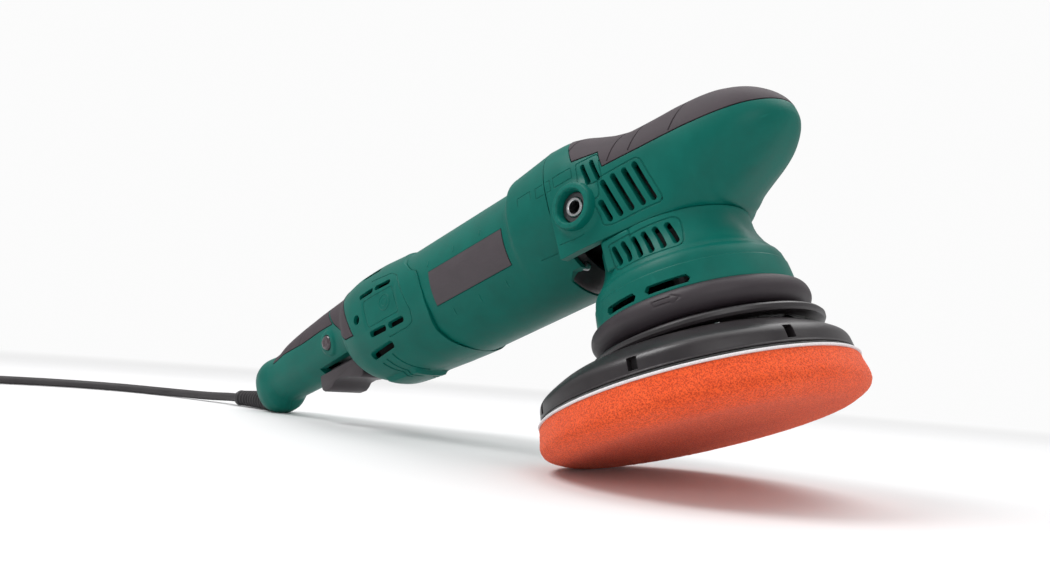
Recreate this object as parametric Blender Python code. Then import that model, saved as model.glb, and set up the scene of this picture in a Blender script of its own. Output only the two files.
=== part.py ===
"""Dual-action polisher with bow-shaped rear handle, resting on its pad edge and handle end.

Lengths in the tool's own frame are in millimetres: x forward from the rear handle to the head,
y to the tool's left, z up along the spindle. The origin of that frame is the spindle axis at the
top face of the foam pad. The whole tool hangs under one empty that tips it to its resting pose.
"""
import math

import bmesh
import bpy
from mathutils import Matrix, Vector

for old in list(bpy.data.objects):
    bpy.data.objects.remove(old, do_unlink=True)

MM = 0.001
GAP = 0.3  # between neighbouring pieces

# ---------------------------------------------------------------- driving dimensions (mm, degrees)
REST_TILT = 20.949          # nose-up tilt of the tool when it lies on pad edge and handle end
REST_LIFT = 43.18          # height of the tool frame's origin over the floor
SHIFT_X, SHIFT_Y = 166.31, 3.93   # puts the tool's box over the floor's origin
MOTOR_Z = 106.0           # height of the motor axis over the pad's top face
MOTOR_R = 38.0            # outside radius of the motor tube
TUBE_IN = 35.3
ORBIT = 10.5              # half of the 21 mm orbit
ORBIT_ANGLE = 202.0       # where the eccentric stands at rest
ECC = (ORBIT * math.cos(math.radians(ORBIT_ANGLE)), ORBIT * math.sin(math.radians(ORBIT_ANGLE)))
PAD_R = 75.0
PLATE_R = 74.0
FOAM_H = 17.8
GEAR_TEETH, PINION_TEETH = 24, 6
GEAR_R = 22.0             # outer pitch radius of the bevel gear
BOSS_X, BOSS_Z, BOSS_Y = -25.0, 98.0, 45.7
SOCKET_R = 4.0            # M8 socket for an auxiliary handle
TRIGGER_PIVOT = (-241.0, 93.0)
LOCK = (-266.0, 114.5)
DIAL = (-215.0, 118.0)
CORD_D = 7.0
COIL_R, COIL_HALF = 42.0, 14.0   # middle radius of the coil, half of its section

# ---------------------------------------------------------------- helpers
scene_col = bpy.context.scene.collection
materials = {}


def material(name, rgb, rough, metal=0.0):
    if name not in materials:
        m = bpy.data.materials.new(name)
        m.use_nodes = True
        b = m.node_tree.nodes["Principled BSDF"]
        b.inputs["Base Color"].default_value = (*rgb, 1)
        b.inputs["Roughness"].default_value = rough
        b.inputs["Metallic"].default_value = metal
        m.diffuse_color = (*rgb, 1)
        materials[name] = m
    return materials[name]


def bent(face):
    """A four-sided face whose corners aren't in one plane."""
    a, b, c, d = (v.co for v in face.verts)
    n = (c - a).cross(d - b)
    return n.length > 0 and abs((b - a).dot(n.normalized())) > 2e-7


def recalc(mesh):
    bm = bmesh.new()
    bm.from_mesh(mesh)
    bmesh.ops.remove_doubles(bm, verts=bm.verts, dist=1e-7)
    bmesh.ops.triangulate(bm, faces=[f for f in bm.faces if len(f.verts) == 4 and bent(f)])
    bmesh.ops.recalc_face_normals(bm, faces=bm.faces)
    if bm.calc_volume(signed=True) < 0:
        bmesh.ops.reverse_faces(bm, faces=bm.faces)
    bm.to_mesh(mesh)
    bm.free()


def solid(name, verts, faces):
    mesh = bpy.data.meshes.new(name)
    mesh.from_pydata([Vector(v) * MM for v in verts], [], faces)
    recalc(mesh)
    obj = bpy.data.objects.new(name, mesh)
    scene_col.objects.link(obj)
    return obj


def skin(name, rings):
    """A closed body through rings of equal point count, with flat caps."""
    n = len(rings[0])
    verts = [p for ring in rings for p in ring]
    faces = [list(range(n))[::-1], [(len(rings) - 1) * n + i for i in range(n)]]
    for r in range(len(rings) - 1):
        for i in range(n):
            j = (i + 1) % n
            faces.append([r * n + i, r * n + j, (r + 1) * n + j, (r + 1) * n + i])
    return solid(name, verts, faces)


def turned(name, profile, axis="z", centre=(0, 0), n=32):
    """The closed outline of (radius, height) points turned about an axis."""
    verts, faces, rows = [], [], []
    for r, h in profile:
        row = []
        count = 1 if r < 1e-6 else n
        for i in range(count):
            a = 2 * math.pi * (i + 0.5) / n
            u, v = centre[0] + r * math.cos(a), centre[1] + r * math.sin(a)
            row.append(len(verts))
            verts.append({"z": (u, v, h), "x": (h, u, v), "y": (u, h, v)}[axis])
        rows.append(row)
    for k in range(len(rows)):
        a, b = rows[k], rows[(k + 1) % len(rows)]
        if len(a) == 1 and len(b) == 1:
            continue
        for i in range(n):
            j = (i + 1) % n
            if len(a) == 1:
                faces.append([a[0], b[i], b[j]])
            elif len(b) == 1:
                faces.append([a[i], a[j], b[0]])
            else:
                faces.append([a[i], a[j], b[j], b[i]])
    return solid(name, verts, faces)


def rod(name, axis, centre, r, a, b, n=20):
    return turned(name, [(0, a), (r, a), (r, b), (0, b)], axis, centre, n)


def tube(name, axis, centre, r_in, r_out, a, b, n=24):
    return turned(name, [(r_in, a), (r_out, a), (r_out, b), (r_in, b)], axis, centre, n)


def box(name, x0, x1, y0, y1, z0, z1):
    v = [(x, y, z) for x in (x0, x1) for y in (y0, y1) for z in (z0, z1)]
    f = [(0, 1, 3, 2), (4, 6, 7, 5), (0, 4, 5, 1), (2, 3, 7, 6), (0, 2, 6, 4), (1, 5, 7, 3)]
    return solid(name, v, f)


def prism(name, outline, y0, y1):
    """An outline in the x-z plane, extruded along y."""
    n = len(outline)
    verts = [(x, y0, z) for x, z in outline] + [(x, y1, z) for x, z in outline]
    faces = [list(range(n)), list(range(2 * n - 1, n - 1, -1))]
    faces += [[i, n + i, n + (i + 1) % n, (i + 1) % n] for i in range(n)]
    return solid(name, verts, faces)


def sector(name, axis_z, r0, r1, a0, a1, x0, x1, n=8):
    """A curved block about the motor axis between two radii and two angles (degrees, from +y to +z)."""
    pts = []
    for r, rng in ((r0, range(n + 1)), (r1, range(n, -1, -1))):
        for i in rng:
            a = math.radians(a0 + (a1 - a0) * i / n)
            pts.append((r * math.cos(a), axis_z + r * math.sin(a)))
    m = len(pts)
    verts = [(x0, y, z) for y, z in pts] + [(x1, y, z) for y, z in pts]
    faces = []
    for i in range(n):
        k = 2 * n + 1 - i
        faces.append([i, i + 1, k - 1, k])
        faces.append([m + i, m + k, m + k - 1, m + i + 1])
    faces += [[i, m + i, m + (i + 1) % m, (i + 1) % m] for i in range(m)]
    return solid(name, verts, faces)


def measure(mesh):
    """Volume of a mesh, and whether every edge joins two faces."""
    bm = bmesh.new()
    bm.from_mesh(mesh)
    volume = bm.calc_volume(signed=True)
    whole = all(len(e.link_faces) == 2 for e in bm.edges)
    bm.free()
    return volume, whole


NUDGES = [(0, 0, 0), (0.031, 0.017, 0.023), (-0.027, 0.019, -0.021), (0.043, -0.037, 0.029), (-0.053, -0.041, 0.047),
          (0.061, 0.057, -0.049), (0.09, -0.07, -0.08), (-0.1, 0.08, 0.09)]


def boolean(obj, others, operation):
    """One exact Boolean per helper; where faces nearly coincide the helper is moved by a hair and tried again."""
    for other in others:
        before, was_whole = measure(obj.data)
        size, _ = measure(other.data)
        home = other.location.copy()
        for nudge in NUDGES:
            other.location = home + Vector(nudge) * MM
            bpy.context.view_layer.update()
            mod = obj.modifiers.new("cut", "BOOLEAN")
            mod.operation = operation
            mod.solver = "EXACT"
            mod.object = other
            graph = bpy.context.evaluated_depsgraph_get()
            mesh = bpy.data.meshes.new_from_object(obj.evaluated_get(graph))
            obj.modifiers.clear()
            after, whole = measure(mesh)
            slack = 2e-10
            if operation == "DIFFERENCE":
                sound = before - size - slack <= after <= before + slack
            elif operation == "UNION":
                sound = max(before, size) - slack <= after <= before + size + slack
            else:
                sound = 0 < after <= min(before, size) + slack
            if whole and sound:
                break
        obj.data = mesh
        bpy.data.objects.remove(other, do_unlink=True)
    return obj


def cut(obj, *others):
    return boolean(obj, others, "DIFFERENCE")


def join(obj, *others):
    return boolean(obj, others, "UNION")


def keep(obj, *others):
    return boolean(obj, others, "INTERSECT")


def finish(obj, name, mat, parent, pivot=(0, 0, 0), smooth=35):
    """Names the piece, gives it its material and sets its origin on its pivot."""
    obj.name = name
    obj.data.name = name
    p = Vector(pivot) * MM
    obj.data.transform(Matrix.Translation(-p))
    obj.data.materials.clear()
    obj.data.materials.append(mat)
    obj.data.shade_smooth()
    obj.data.set_sharp_from_angle(angle=math.radians(smooth))
    obj.parent = parent
    obj.location = p - Vector(parent.get("pivot", (0, 0, 0))) if parent else p
    return obj


def empty(name, parent=None, pivot=(0, 0, 0)):
    e = bpy.data.objects.new(name, None)
    e.empty_display_size = 0.03
    scene_col.objects.link(e)
    e.parent = parent
    e["pivot"] = [c * MM for c in pivot]
    base = Vector(parent.get("pivot", (0, 0, 0))) if parent else Vector((0, 0, 0))
    e.location = Vector(pivot) * MM - base
    return e


# ---------------------------------------------------------------- colours
GREEN = material("green_plastic", (0.005, 0.155, 0.118), 0.42)
SOFT = material("soft_grip_rubber", (0.085, 0.068, 0.074), 0.7)
BLACK = material("black_plastic", (0.022, 0.020, 0.021), 0.38)
BUMPER = material("bumper_rubber", (0.048, 0.040, 0.044), 0.55)
LABEL = material("label_grey", (0.045, 0.038, 0.042), 0.5)
FOAM = material("orange_foam", (0.83, 0.105, 0.022), 0.95)
WHITE = material("white_velour", (0.85, 0.83, 0.84), 0.95)
HOOK = material("black_hook_tape", (0.03, 0.03, 0.03), 0.9)
STEEL = material("steel", (0.5, 0.5, 0.5), 0.3, 1.0)
DARKSTEEL = material("blackened_steel", (0.12, 0.12, 0.12), 0.4, 1.0)
ALU = material("cast_aluminium", (0.42, 0.42, 0.43), 0.5, 1.0)
CASE = material("dark_cast_alloy", (0.05, 0.05, 0.05), 0.5, 1.0)
COPPER = material("copper", (0.8, 0.36, 0.18), 0.35, 1.0)
CARBON = material("carbon", (0.04, 0.04, 0.04), 0.7)
CORD = material("cord_rubber", (0.028, 0.026, 0.027), 0.55)
BRASS = material("nickel_brass", (0.72, 0.66, 0.5), 0.25, 1.0)

# ---------------------------------------------------------------- frames
tool = empty("tool_frame")
tool.location = (SHIFT_X * MM, SHIFT_Y * MM, REST_LIFT * MM)
tool.rotation_euler = (0, -math.radians(REST_TILT), 0)
motor_axis = empty("motor_axis", tool, (0, 0, MOTOR_Z))
spindle_axis = empty("spindle_axis", tool, (0, 0, 0))
pad_axis = empty("pad_axis", tool, (ECC[0], ECC[1], 0))
CM = (0, MOTOR_Z)


# ---------------------------------------------------------------- rear handle and rear cover
# x, height of the middle, height over it, half width, depth under it
REAR = [
    (-376.0, 117.0, 8.5, 8.5, 12.5), (-374.2, 117.0, 13.2, 13.0, 17.5), (-369.5, 117.0, 17.0, 16.8, 22.0),
    (-361.0, 116.8, 18.8, 18.4, 24.6), (-353.0, 116.8, 18.2, 17.8, 25.0), (-349.0, 116.85, 17.9, 17.5, 24.0),
    (-343.5, 116.9, 17.6, 17.2, 18.6), (-312.0, 117.6, 19.2, 18.0, 19.2), (-292.0, 118.4, 20.6, 18.6, 20.6),
    (-270.0, 119.5, 22.0, 19.8, 22.0), (-250.0, 120.2, 23.2, 22.0, 23.2), (-243.0, 119.2, 24.6, 25.0, 24.6),
    (-238.0, 115.8, 28.0, 29.5, 28.0), (-233.0, 112.6, 32.2, 33.5, 32.2), (-225.0, 110.4, 35.2, 36.6, 35.2),
    (-212.0, 109.3, 37.2, 38.6, 37.2), (-190.0, 107.8, 38.2, 39.6, 38.2), (-165.0, 105.4, 38.9, 39.2, 38.9),
    (-144.0, 105.0, 39.0, 39.0, 39.0),
]


def wall_at(x):
    if x < -250:
        return 5.0
    return 5.0 + (2.8 - 5.0) * min(1.0, (x + 250) / 25)


def superellipse(x, zc, h, w, power=2.25, n=20, h_low=None):
    ring = []
    for i in range(n):
        a = 2 * math.pi * (i + 0.5) / n
        c, s = math.cos(a), math.sin(a)
        hh = h if s > 0 or h_low is None else h_low
        ring.append((x, w * math.copysign(abs(c) ** (2 / power), c),
                     zc + hh * math.copysign(abs(s) ** (2 / power), s)))
    return ring


def rear_loft(name, inset=0.0, start=-400.0, extra=0.0, wall=False):
    rings = []
    for x, zc, h, w, low in REAR:
        if x < start:
            continue
        d = wall_at(x) + inset if wall else inset
        rings.append(superellipse(x, zc, h - d, w - d, h_low=low - d))
    if extra:
        x, zc, h, w, low = REAR[-1]
        d = wall_at(x) + inset if wall else inset
        rings.append(superellipse(x + extra, zc, h - d, w - d, h_low=low - d))
    return skin(name, rings)


# front edge of the rear cover, seen from the side: slanted at the top, with a jog
SEAM = [(-178.5, 152.0), (-176.0, 140.0), (-157.6, 119.0), (-150.6, 117.0), (-147.0, 106.0),
        (-147.0, 85.0), (-148.5, 60.0)]


def behind_seam(name, gap):
    return prism(name, [(x - gap, z) for x, z in SEAM] + [(-420.0, 60.0), (-420.0, 152.0)], -60, 60)


INLAY = [(-338.5, 126.6), (-325.0, 127.8), (-300.0, 129.4), (-267.0, 131.2), (-264.5, 150.0), (-338.5, 150.0)]
BAND = [(-263.5, 150.0), (-266.0, 131.2), (-256.0, 122.0), (-246.0, 108.0), (-237.0, 108.0), (-241.5, 150.0)]


def rear_half(side):
    shell = rear_loft("rear", 0.0, extra=4.0)
    cut(shell, rear_loft("rear_in", 0.0, start=-370.0, extra=12.0, wall=True))
    # air slots in the rear cover's side
    for x0, x1, z0, z1 in ((-217.4, -205, 128.4, 131.8), (-200.6, -186, 128.3, 131.7), (-205, -192, 97.0, 100.5),
                           (-188.5, -176, 96.0, 99.5), (-217.4, -198, 86.0, 90.0)):
        cut(shell, box("slot", x0, x1, *sorted((side * 19.7, side * 61.0)), z0, z1))
    keep(shell, behind_seam("seam", 0.0))
    # pockets for the soft inlay and the soft neck band
    layer = rear_loft("layer", -3.0, start=-370.0)
    cut(layer, rear_loft("under", 2.6, start=-376.0))
    keep(layer, join(prism("inlay_zone", INLAY, -60, 60), prism("band_zone", BAND, -60, 60)))
    cut(shell, layer)
    # trigger opening, cord mouth, motor tube's rear end
    cut(shell, box("trigger_way", -288.2, -236.0, -14.8, 14.8, 60, 103.2))
    cut(shell, rod("cord_mouth", "x", (0, 105.6), 8.4, -390, -356, 20))
    if side > 0:
        cut(shell, box("half", -420, -100, -80, 0.15, 40, 180))
        cut(shell, box("dial_window", -226.8, -203.2, 32.0, 50, 115.0, 121.0))
        for x, z in ((-330.0, 113.0), (-231.0, 118.0)):
            cut(shell, rod("screw_way", "y", (x, z), 2.1, 5, 60, 12))
    else:
        cut(shell, box("half", -420, -100, -0.15, 80, 40, 180))
        cut(shell, rod("lock_way", "y", LOCK, 5.4, -60, -5, 20))
        cut(shell, rod("screw_way", "y", (-231.0, 118.0), 2.1, -60, -5, 12))
        cut(shell, rod("screw_head_way", "y", (-231.0, 118.0), 3.8, -60, -30.0, 12))
        cut(shell, rod("screw_way", "y", (-330.0, 113.0), 2.1, -14.5, -5, 12))
    if side > 0:
        cut(shell, rod("screw_head_way", "y", (-330.0, 113.0), 3.8, 14.6, 60, 12))
    return shell


finish(rear_half(1), "rear_handle_left", GREEN, tool)
finish(rear_half(-1), "rear_handle_right", GREEN, tool)


def soft_layer(zone, inner, x_lo):
    layer = rear_loft("soft", 0.0, start=x_lo)
    cut(layer, rear_loft("under", inner, start=-376.0))
    return keep(layer, prism("zone", zone, -60, 60))


inlay = soft_layer([(-338.1, 127.0), (-325.0, 128.2), (-300.0, 129.8), (-267.3, 131.6), (-264.9, 150.0), (-338.1, 150.0)], 2.3, -370.0)
finish(inlay, "handle_soft_inlay", SOFT, tool)
band = soft_layer([(-263.1, 150.0), (-265.5, 131.4), (-255.6, 122.3), (-245.8, 108.4), (-237.5, 108.4), (-241.9, 150.0)], 2.3, -270.5)
finish(band, "neck_soft_band", SOFT, tool)

# ---------------------------------------------------------------- trigger, lock button, switch, dial
trig = prism("trigger", [(-286.6, 96.5), (-286.6, 87.0), (-284.0, 85.2), (-275.5, 85.0), (-271.0, 88.2),
                         (-254.0, 85.8), (-240.0, 82.0), (-237.6, 84.5), (-237.6, 96.5)], -14.2, 14.2)
cut(trig, box("trigger_hollow", -283.0, -247.0, -11.5, 11.5, 90.6, 110))
join(trig, rod("trigger_pin", "y", TRIGGER_PIVOT, 2.2, -14.2, 14.2, 12))
finish(trig, "trigger", BLACK, tool, (TRIGGER_PIVOT[0], 0, TRIGGER_PIVOT[1]))

lock = rod("lock", "y", LOCK, 5.0, -22.6, -15.8, 20)
join(lock, rod("stem", "y", LOCK, 2.4, -18.0, -9.8, 12))
finish(lock, "lock_button", BLACK, tool, (LOCK[0], -15.8, LOCK[1]))

finish(box("switch", -284.5, -256.0, -6.8, 9.2, 107.5, 122.0), "switch_body", BLACK, tool)

dial = turned("dial", [(1.6, 115.6), (10.0, 115.6), (10.8, 116.4), (10.8, 119.6), (10.0, 120.4), (1.6, 120.4)],
              "z", (DIAL[0], 31.0), 20)
finish(dial, "speed_dial", BLACK, tool, (DIAL[0], 31.0, DIAL[1]))
module = box("module", -223.0, -207.0, 22.0, 32.6, 103.5, 114.9)
join(module, rod("dial_pin", "z", (DIAL[0], 31.0), 1.3, 114.0, 120.0, 10))
finish(module, "speed_module", BLACK, tool)

finish(box("clamp", -352.0, -346.0, -8.0, 8.0, 108.8, 113.2), "cord_clamp", BLACK, tool)

screw = rod("screw", "y", (-231.0, 118.0), 1.75, -34.0, 24.0, 12)
join(screw, rod("head", "y", (-231.0, 118.0), 3.4, -36.0, -33.6, 12))
finish(screw, "handle_screw_front", DARKSTEEL, tool)
screw = rod("screw", "y", (-330.0, 113.0), 1.75, -12.0, 15.5, 12)
join(screw, rod("head", "y", (-330.0, 113.0), 3.4, 15.0, 16.4, 12))
finish(screw, "handle_screw_rear", DARKSTEEL, tool)


# ---------------------------------------------------------------- motor housing: tube and front collar
def collar_ring(x, d, grow):
    """Circle of the tube, blended by grow (0..1) into the collar's rounded square upper half."""
    ring = []
    n = 32
    for i in range(n):
        a = 2 * math.pi * (i + 0.5) / n
        c, s = math.cos(a), math.sin(a)
        y, z = MOTOR_R * c, MOTOR_R * s
        if s >= 0:
            p = 2 / 2.75
            yy = 40.5 * math.copysign(abs(c) ** p, c)
            zz = 40.8 * abs(s) ** p
        else:
            yy = c * (MOTOR_R + 2.5 * (1 + s) ** 1.5)
            zz = z
        y, z = y + (yy - y) * grow, z + (zz - z) * grow
        k = 1 - d / math.hypot(y, z)
        ring.append((x, y * k, MOTOR_Z + z * k))
    return ring


housing_rings = [(-163.0, 0.0), (-75.0, 0.0), (-71.5, 0.35), (-68.0, 0.9), (-65.0, 1.0), (-41.6, 1.0)]
# the tube's rear end is cut parallel to the cover's front edge
housing = skin("housing", [collar_ring(x if x > -160 else -184.0, 0.0, g) for x, g in housing_rings])
cut(housing, behind_seam("seam", -0.3))
cut(housing, skin("bore", [collar_ring(-190.0, MOTOR_R - TUBE_IN, 0.0), collar_ring(-68.5, MOTOR_R - TUBE_IN, 0.0)]))
cut(housing, skin("front", [collar_ring(-60.2, 3.0, 1.0), collar_ring(-30.0, 3.0, 1.0)]))
cut(housing, rod("baffle", "x", CM, 27.0, -70, -58, 32))
# the collar's underside stops short of the skirt, where the gear case shows
cut(housing, prism("pocket", [(-41.0, 76.5), (-46.0, 76.5), (-58.5, 66.0), (-58.5, 55), (-30, 55), (-30, 76.5)], -60, 60))
cut(housing, sector("label_pocket", MOTOR_Z, 37.2, 44.0, 180 - 8.2, 180 + 24.2, -137.3, -76.7, 8))
cut(housing, sector("plate_pocket", MOTOR_Z, 37.2, 44.0, -24.2, 8.2, -137.3, -76.7, 8))
finish(housing, "motor_housing", GREEN, tool)
finish(sector("label", MOTOR_Z, 37.5, 38.3, 180 - 7.6, 180 + 23.6, -137.0, -77.0, 8), "label_plate", LABEL, tool)
finish(sector("rating", MOTOR_Z, 37.5, 38.3, -23.6, 7.6, -137.0, -77.0, 8), "rating_plate", LABEL, tool)

# ---------------------------------------------------------------- head covers
# x, top, middle, bottom, half width, half width at the bottom, power of the upper arc
HEAD = [
    (-41.0, 146.8, 108.0, 77.3, 40.5, 40.1, 2.7), (-31.0, 146.0, 108.0, 77.3, 40.5, 40.0, 2.65),
    (-22.0, 143.6, 108.0, 77.3, 40.2, 39.4, 2.55), (-12.0, 139.2, 108.0, 77.3, 39.6, 38.2, 2.4),
    (-2.0, 134.9, 107.5, 77.3, 38.8, 36.9, 2.35), (8.0, 132.6, 107.0, 77.3, 37.7, 35.6, 2.3),
    (16.0, 132.4, 107.0, 77.3, 36.6, 32.8, 2.3), (24.0, 132.7, 107.0, 77.3, 35.4, 27.5, 2.25),
    (31.0, 132.9, 107.0, 77.3, 34.2, 19.0, 2.25), (36.0, 132.9, 107.0, 77.6, 33.3, 9.0, 2.2),
    (41.0, 132.7, 107.0, 81.0, 32.0, 6.0, 2.2), (48.0, 132.0, 107.0, 85.0, 30.0, 5.0, 2.15),
    (55.5, 129.8, 107.3, 88.8, 27.0, 4.5, 2.1), (62.0, 126.6, 107.6, 92.8, 23.2, 4.0, 2.1),
    (67.8, 122.2, 108.0, 97.8, 17.8, 3.0, 2.05), (71.8, 117.6, 108.4, 102.4, 11.8, 2.0, 2.0),
    (74.2, 112.6, 108.8, 106.2, 5.0, 1.0, 2.0),
]


def head_ring(x, top, mid, bottom, w, wb, power, d, open_bottom=0.0):
    ring = []
    up, low = 10, 4
    w, top, bottom, wb = w - d, top - d, bottom + d, max(0.6, wb - d)
    for i in range(up + 1):
        a = math.pi * i / up
        c, s = math.cos(a), math.sin(a)
        ring.append((x, w * math.copysign(abs(c) ** (2 / power), c) if abs(c) > 1e-9 else 0.0,
                     mid + (top - mid) * max(0.0, s) ** (2 / power)))
    for i in range(1, low + 1):
        t = i / low
        ring.append((x, -(wb + (w - wb) * math.sqrt(max(0, 1 - t * t))), mid - (mid - bottom) * t - open_bottom * t))
    for i in range(low, 0, -1):
        t = i / low
        ring.append((x, wb + (w - wb) * math.sqrt(max(0, 1 - t * t)), mid - (mid - bottom) * t - open_bottom * t))
    return ring


def head_loft(name, d, stop=100.0, start_extra=0.0, floor_cut=0.0):
    rings = []
    for row in HEAD:
        x = row[0]
        if x > stop:
            break
        if rings == [] and start_extra:
            rings.append(head_ring(x - start_extra, *row[1:], d, floor_cut))
        rings.append(head_ring(*row, d, floor_cut))
    return skin(name, rings)


GRIP_ZONE = [(-36.5, 170.0), (-23.0, 122.4), (-8.0, 120.4), (-6.4, 111.0), (12.0, 111.0), (90.0, 112.6), (90.0, 170.0)]


def boss(side):
    s = side
    return rod("boss", "y", (BOSS_X, BOSS_Z), 11.5, *sorted((s * 37.0, s * BOSS_Y)), 28)


upper = head_loft("upper", 0.0)
cut(upper, head_loft("upper_in", 5.2, stop=70.0, start_extra=8.0))
# air slots beside the boss and round the front of the cover
for s in (1, -1):
    lo, hi = sorted((s * 26.7, s * 61.0))
    for x in (-15.7, -10.5):
        cut(upper, box("slot", x - 1.3, x + 1.3, lo, hi, 108.9, 117.6))
    for k in range(-1, 4):
        x = -1.83 + 6.3 * k
        top = 105.2 if k >= 0 else 93.6
        lean = 0.21 * (top - 85.5)
        cut(upper, prism("slot", [(x - 1.4, 85.5), (x + 1.4, 85.5), (x + 1.4 - lean, top), (x - 1.4 - lean, top)], lo, hi))
skin_layer = head_loft("skin_layer", -4.0, start_extra=2.0)
cut(skin_layer, head_loft("skin_under", 2.6, stop=74.0, start_extra=8.0))
keep(skin_layer, prism("zone", GRIP_ZONE, -70, 70))
cut(upper, skin_layer)
cut(upper, box("open_floor", -60, -5.3, -33.9, 33.9, 40, 84.7), rod("open_neck", "z", (0, 0), 32.6, 40.0, 86.0, 36))
cut(upper, prism("open_back", [(-60, 70), (-60, 140), (-36, 140), (-36, 70)], -35.5, 35.5))
for side in (1, -1):
    join(upper, boss(side))
    cut(upper, rod("boss_hole", "y", (BOSS_X, BOSS_Z), 8.3, *sorted((side * 30.0, side * 60.0)), 24))
finish(upper, "head_cover_upper", GREEN, tool)

grip = head_loft("grip", 0.0)
cut(grip, head_loft("grip_in", 2.3, stop=74.0, start_extra=8.0))
keep(grip, prism("zone", [(-36.1, 170.0), (-22.65, 122.8), (-7.6, 120.8), (-6.0, 111.4), (12.0, 111.4), (90.0, 113.0), (90.0, 170.0)], -70, 70))
finish(grip, "palm_soft_grip", SOFT, tool)

lower = turned("lower", [(33.8, 77.0), (36.6, 77.0), (36.8, 70.0), (38.0, 65.0), (41.6, 60.5), (44.6, 56.5),
                         (46.2, 51.0), (47.4, 41.4), (44.4, 41.4), (43.6, 49.0),
                         (41.6, 54.5), (35.0, 63.5), (33.8, 69.0)], n=36)
ear = box("ear", -18.5, -2.0, -37.8, 37.8, 60.5, 77.0)

join(lower, ear)
cut(lower, tube("trim", "z", (0, 0), 47.6, 90.0, 30.0, 90.0, 36))
cut(lower, rod("clear", "z", (0, 0), 33.7, 35.0, 90.0, 36))
for k in range(6):
    x = -10.8 + 5.4 * k
    for s in (1, -1):
        lo, hi = sorted((s * 25.0, s * 60.0))
        cut(lower, box("slot", x - 1.3, x + 1.3, lo, hi, 63.5, 72.5))
finish(lower, "head_cover_lower", GREEN, tool)

# ---------------------------------------------------------------- bumper and guard
finish(turned("bumper", [(41.8, 40.9), (47.6, 40.9), (50.2, 38.4), (51.8, 34.2), (51.4, 30.2), (49.2, 27.0), (46.6, 25.8),
                         (41.8, 25.8)], n=40), "bumper_ring", BUMPER, tool)
finish(turned("guard", [(41.9, 25.5), (48.0, 25.5), (54.6, 23.2), (54.9, 20.6), (53.4, 20.2), (46.0, 22.4), (41.9, 22.4)],
              n=40), "guard_ring", BLACK, tool)

# ---------------------------------------------------------------- gear case
case = turned("case", [(0, 84.3), (29.0, 84.3), (29.0, 111.0), (21.0, 119.5), (0, 119.5)], n=32)
join(case, rod("neck", "x", CM, 21.5, -56.0, 1.7, 30), rod("flange", "x", CM, 34.6, -60.0, -55.0, 32))
for s in (1, -1):
    join(case, rod("side_boss", "y", (BOSS_X, BOSS_Z), 10.4, *sorted((s * 7.3, s * 33.5)), 22))
cut(case, rod("gear_room", "z", (0, 0), 25.4, 70.0, 108.5, 32))
cut(case, rod("pinion_room", "x", CM, 9.0, -50.0, -12.3, 20), rod("bearing_seat", "x", CM, 13.1, -70.0, -43.0, 24))
cut(case, rod("needle_seat", "z", (0, 0), 8.1, 105.0, 117.4, 20))
for s in (1, -1):
    cut(case, rod("socket_seat", "y", (BOSS_X, BOSS_Z), 8.3, *sorted((s * 29.6, s * 59.0)), 18))
finish(case, "gear_case", CASE, tool)

plate = turned("plate", [(13.2, 84.0), (29.0, 84.0), (31.0, 82.0), (31.0, 78.5), (22.0, 75.0), (19.0, 66.0),
                         (19.0, 62.5), (10.0, 62.5), (10.0, 64.5), (16.1, 64.5), (16.1, 77.5), (13.2, 77.5)], n=28)
SCREWS = [(26.3 * math.cos(math.radians(a)), 26.3 * math.sin(math.radians(a))) for a in (214, 34)]
for x, y in SCREWS:
    cut(plate, rod("way", "z", (x, y), 1.9, 70, 90, 10))
finish(plate, "bearing_plate", CASE, tool)
for i, (x, y) in enumerate(SCREWS):
    s = rod("s", "z", (x, y), 1.55, 74.5, 83.9, 10)
    join(s, rod("h", "z", (x, y), 3.2, 72.4, 75.4, 12))
    finish(s, f"bearing_plate_screw_{i + 1}", STEEL, tool)

for s, word in ((1, "left"), (-1, "right")):
    lo, hi = sorted((s * 30.0, s * 41.5))
    b = tube("socket", "y", (BOSS_X, BOSS_Z), SOCKET_R, 7.9, lo, hi, 24)
    finish(b, f"side_handle_socket_{word}", DARKSTEEL, tool)


# ---------------------------------------------------------------- bevel gears
def bevel(name, teeth, pitch_angle, cone_out, cone_in, add, ded, fill_tip, fill_root, phase, axis, back, bore, hub=None):
    """Straight teeth on a cone whose apex is at the crossing of spindle and motor axes."""
    apex = Vector((0, 0, MOTOR_Z))
    if axis == "spindle":
        a, e1, e2 = Vector((0, 0, -1)), Vector((-1, 0, 0)), Vector((0, 1, 0))
    else:
        a, e1, e2 = Vector((-1, 0, 0)), Vector((0, 0, -1)), Vector((0, 1, 0))
    cols = []
    for k in range(teeth):
        mid = 2 * math.pi * (k + phase) / teeth
        step = math.pi / teeth
        for da, tip in ((-fill_root * step, 0), (-fill_tip * step, 1), (fill_tip * step, 1), (fill_root * step, 0)):
            cols.append((mid + da, tip))

    def at(ang, dist, cone):
        return apex + a * (dist * math.cos(cone)) + (e1 * math.cos(ang) + e2 * math.sin(ang)) * (dist * math.sin(cone))

    verts, n = [], len(cols)
    for ang, tip in cols:
        cone = math.radians(pitch_angle + (add if tip else -ded))
        o, i = at(ang, cone_out, cone), at(ang, cone_in, cone)
        radial = e1 * math.cos(ang) + e2 * math.sin(ang)
        row = [apex + a * back + radial * bore,
               apex + a * back + radial * (math.sin(math.radians(pitch_angle - ded)) * cone_out), o, i,
               apex + a * (cone_in * math.cos(math.radians(pitch_angle - ded)) + (0.6 if axis == "spindle" else -0.4)) + radial * bore]
        verts += [tuple(v) for v in row]
    m = 5
    faces = []
    for k in range(n):
        j = (k + 1) % n
        for r in range(m):
            q = (r + 1) % m
            faces.append([k * m + r, k * m + q, j * m + q, j * m + r])
    return solid(name, verts, faces)


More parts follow.
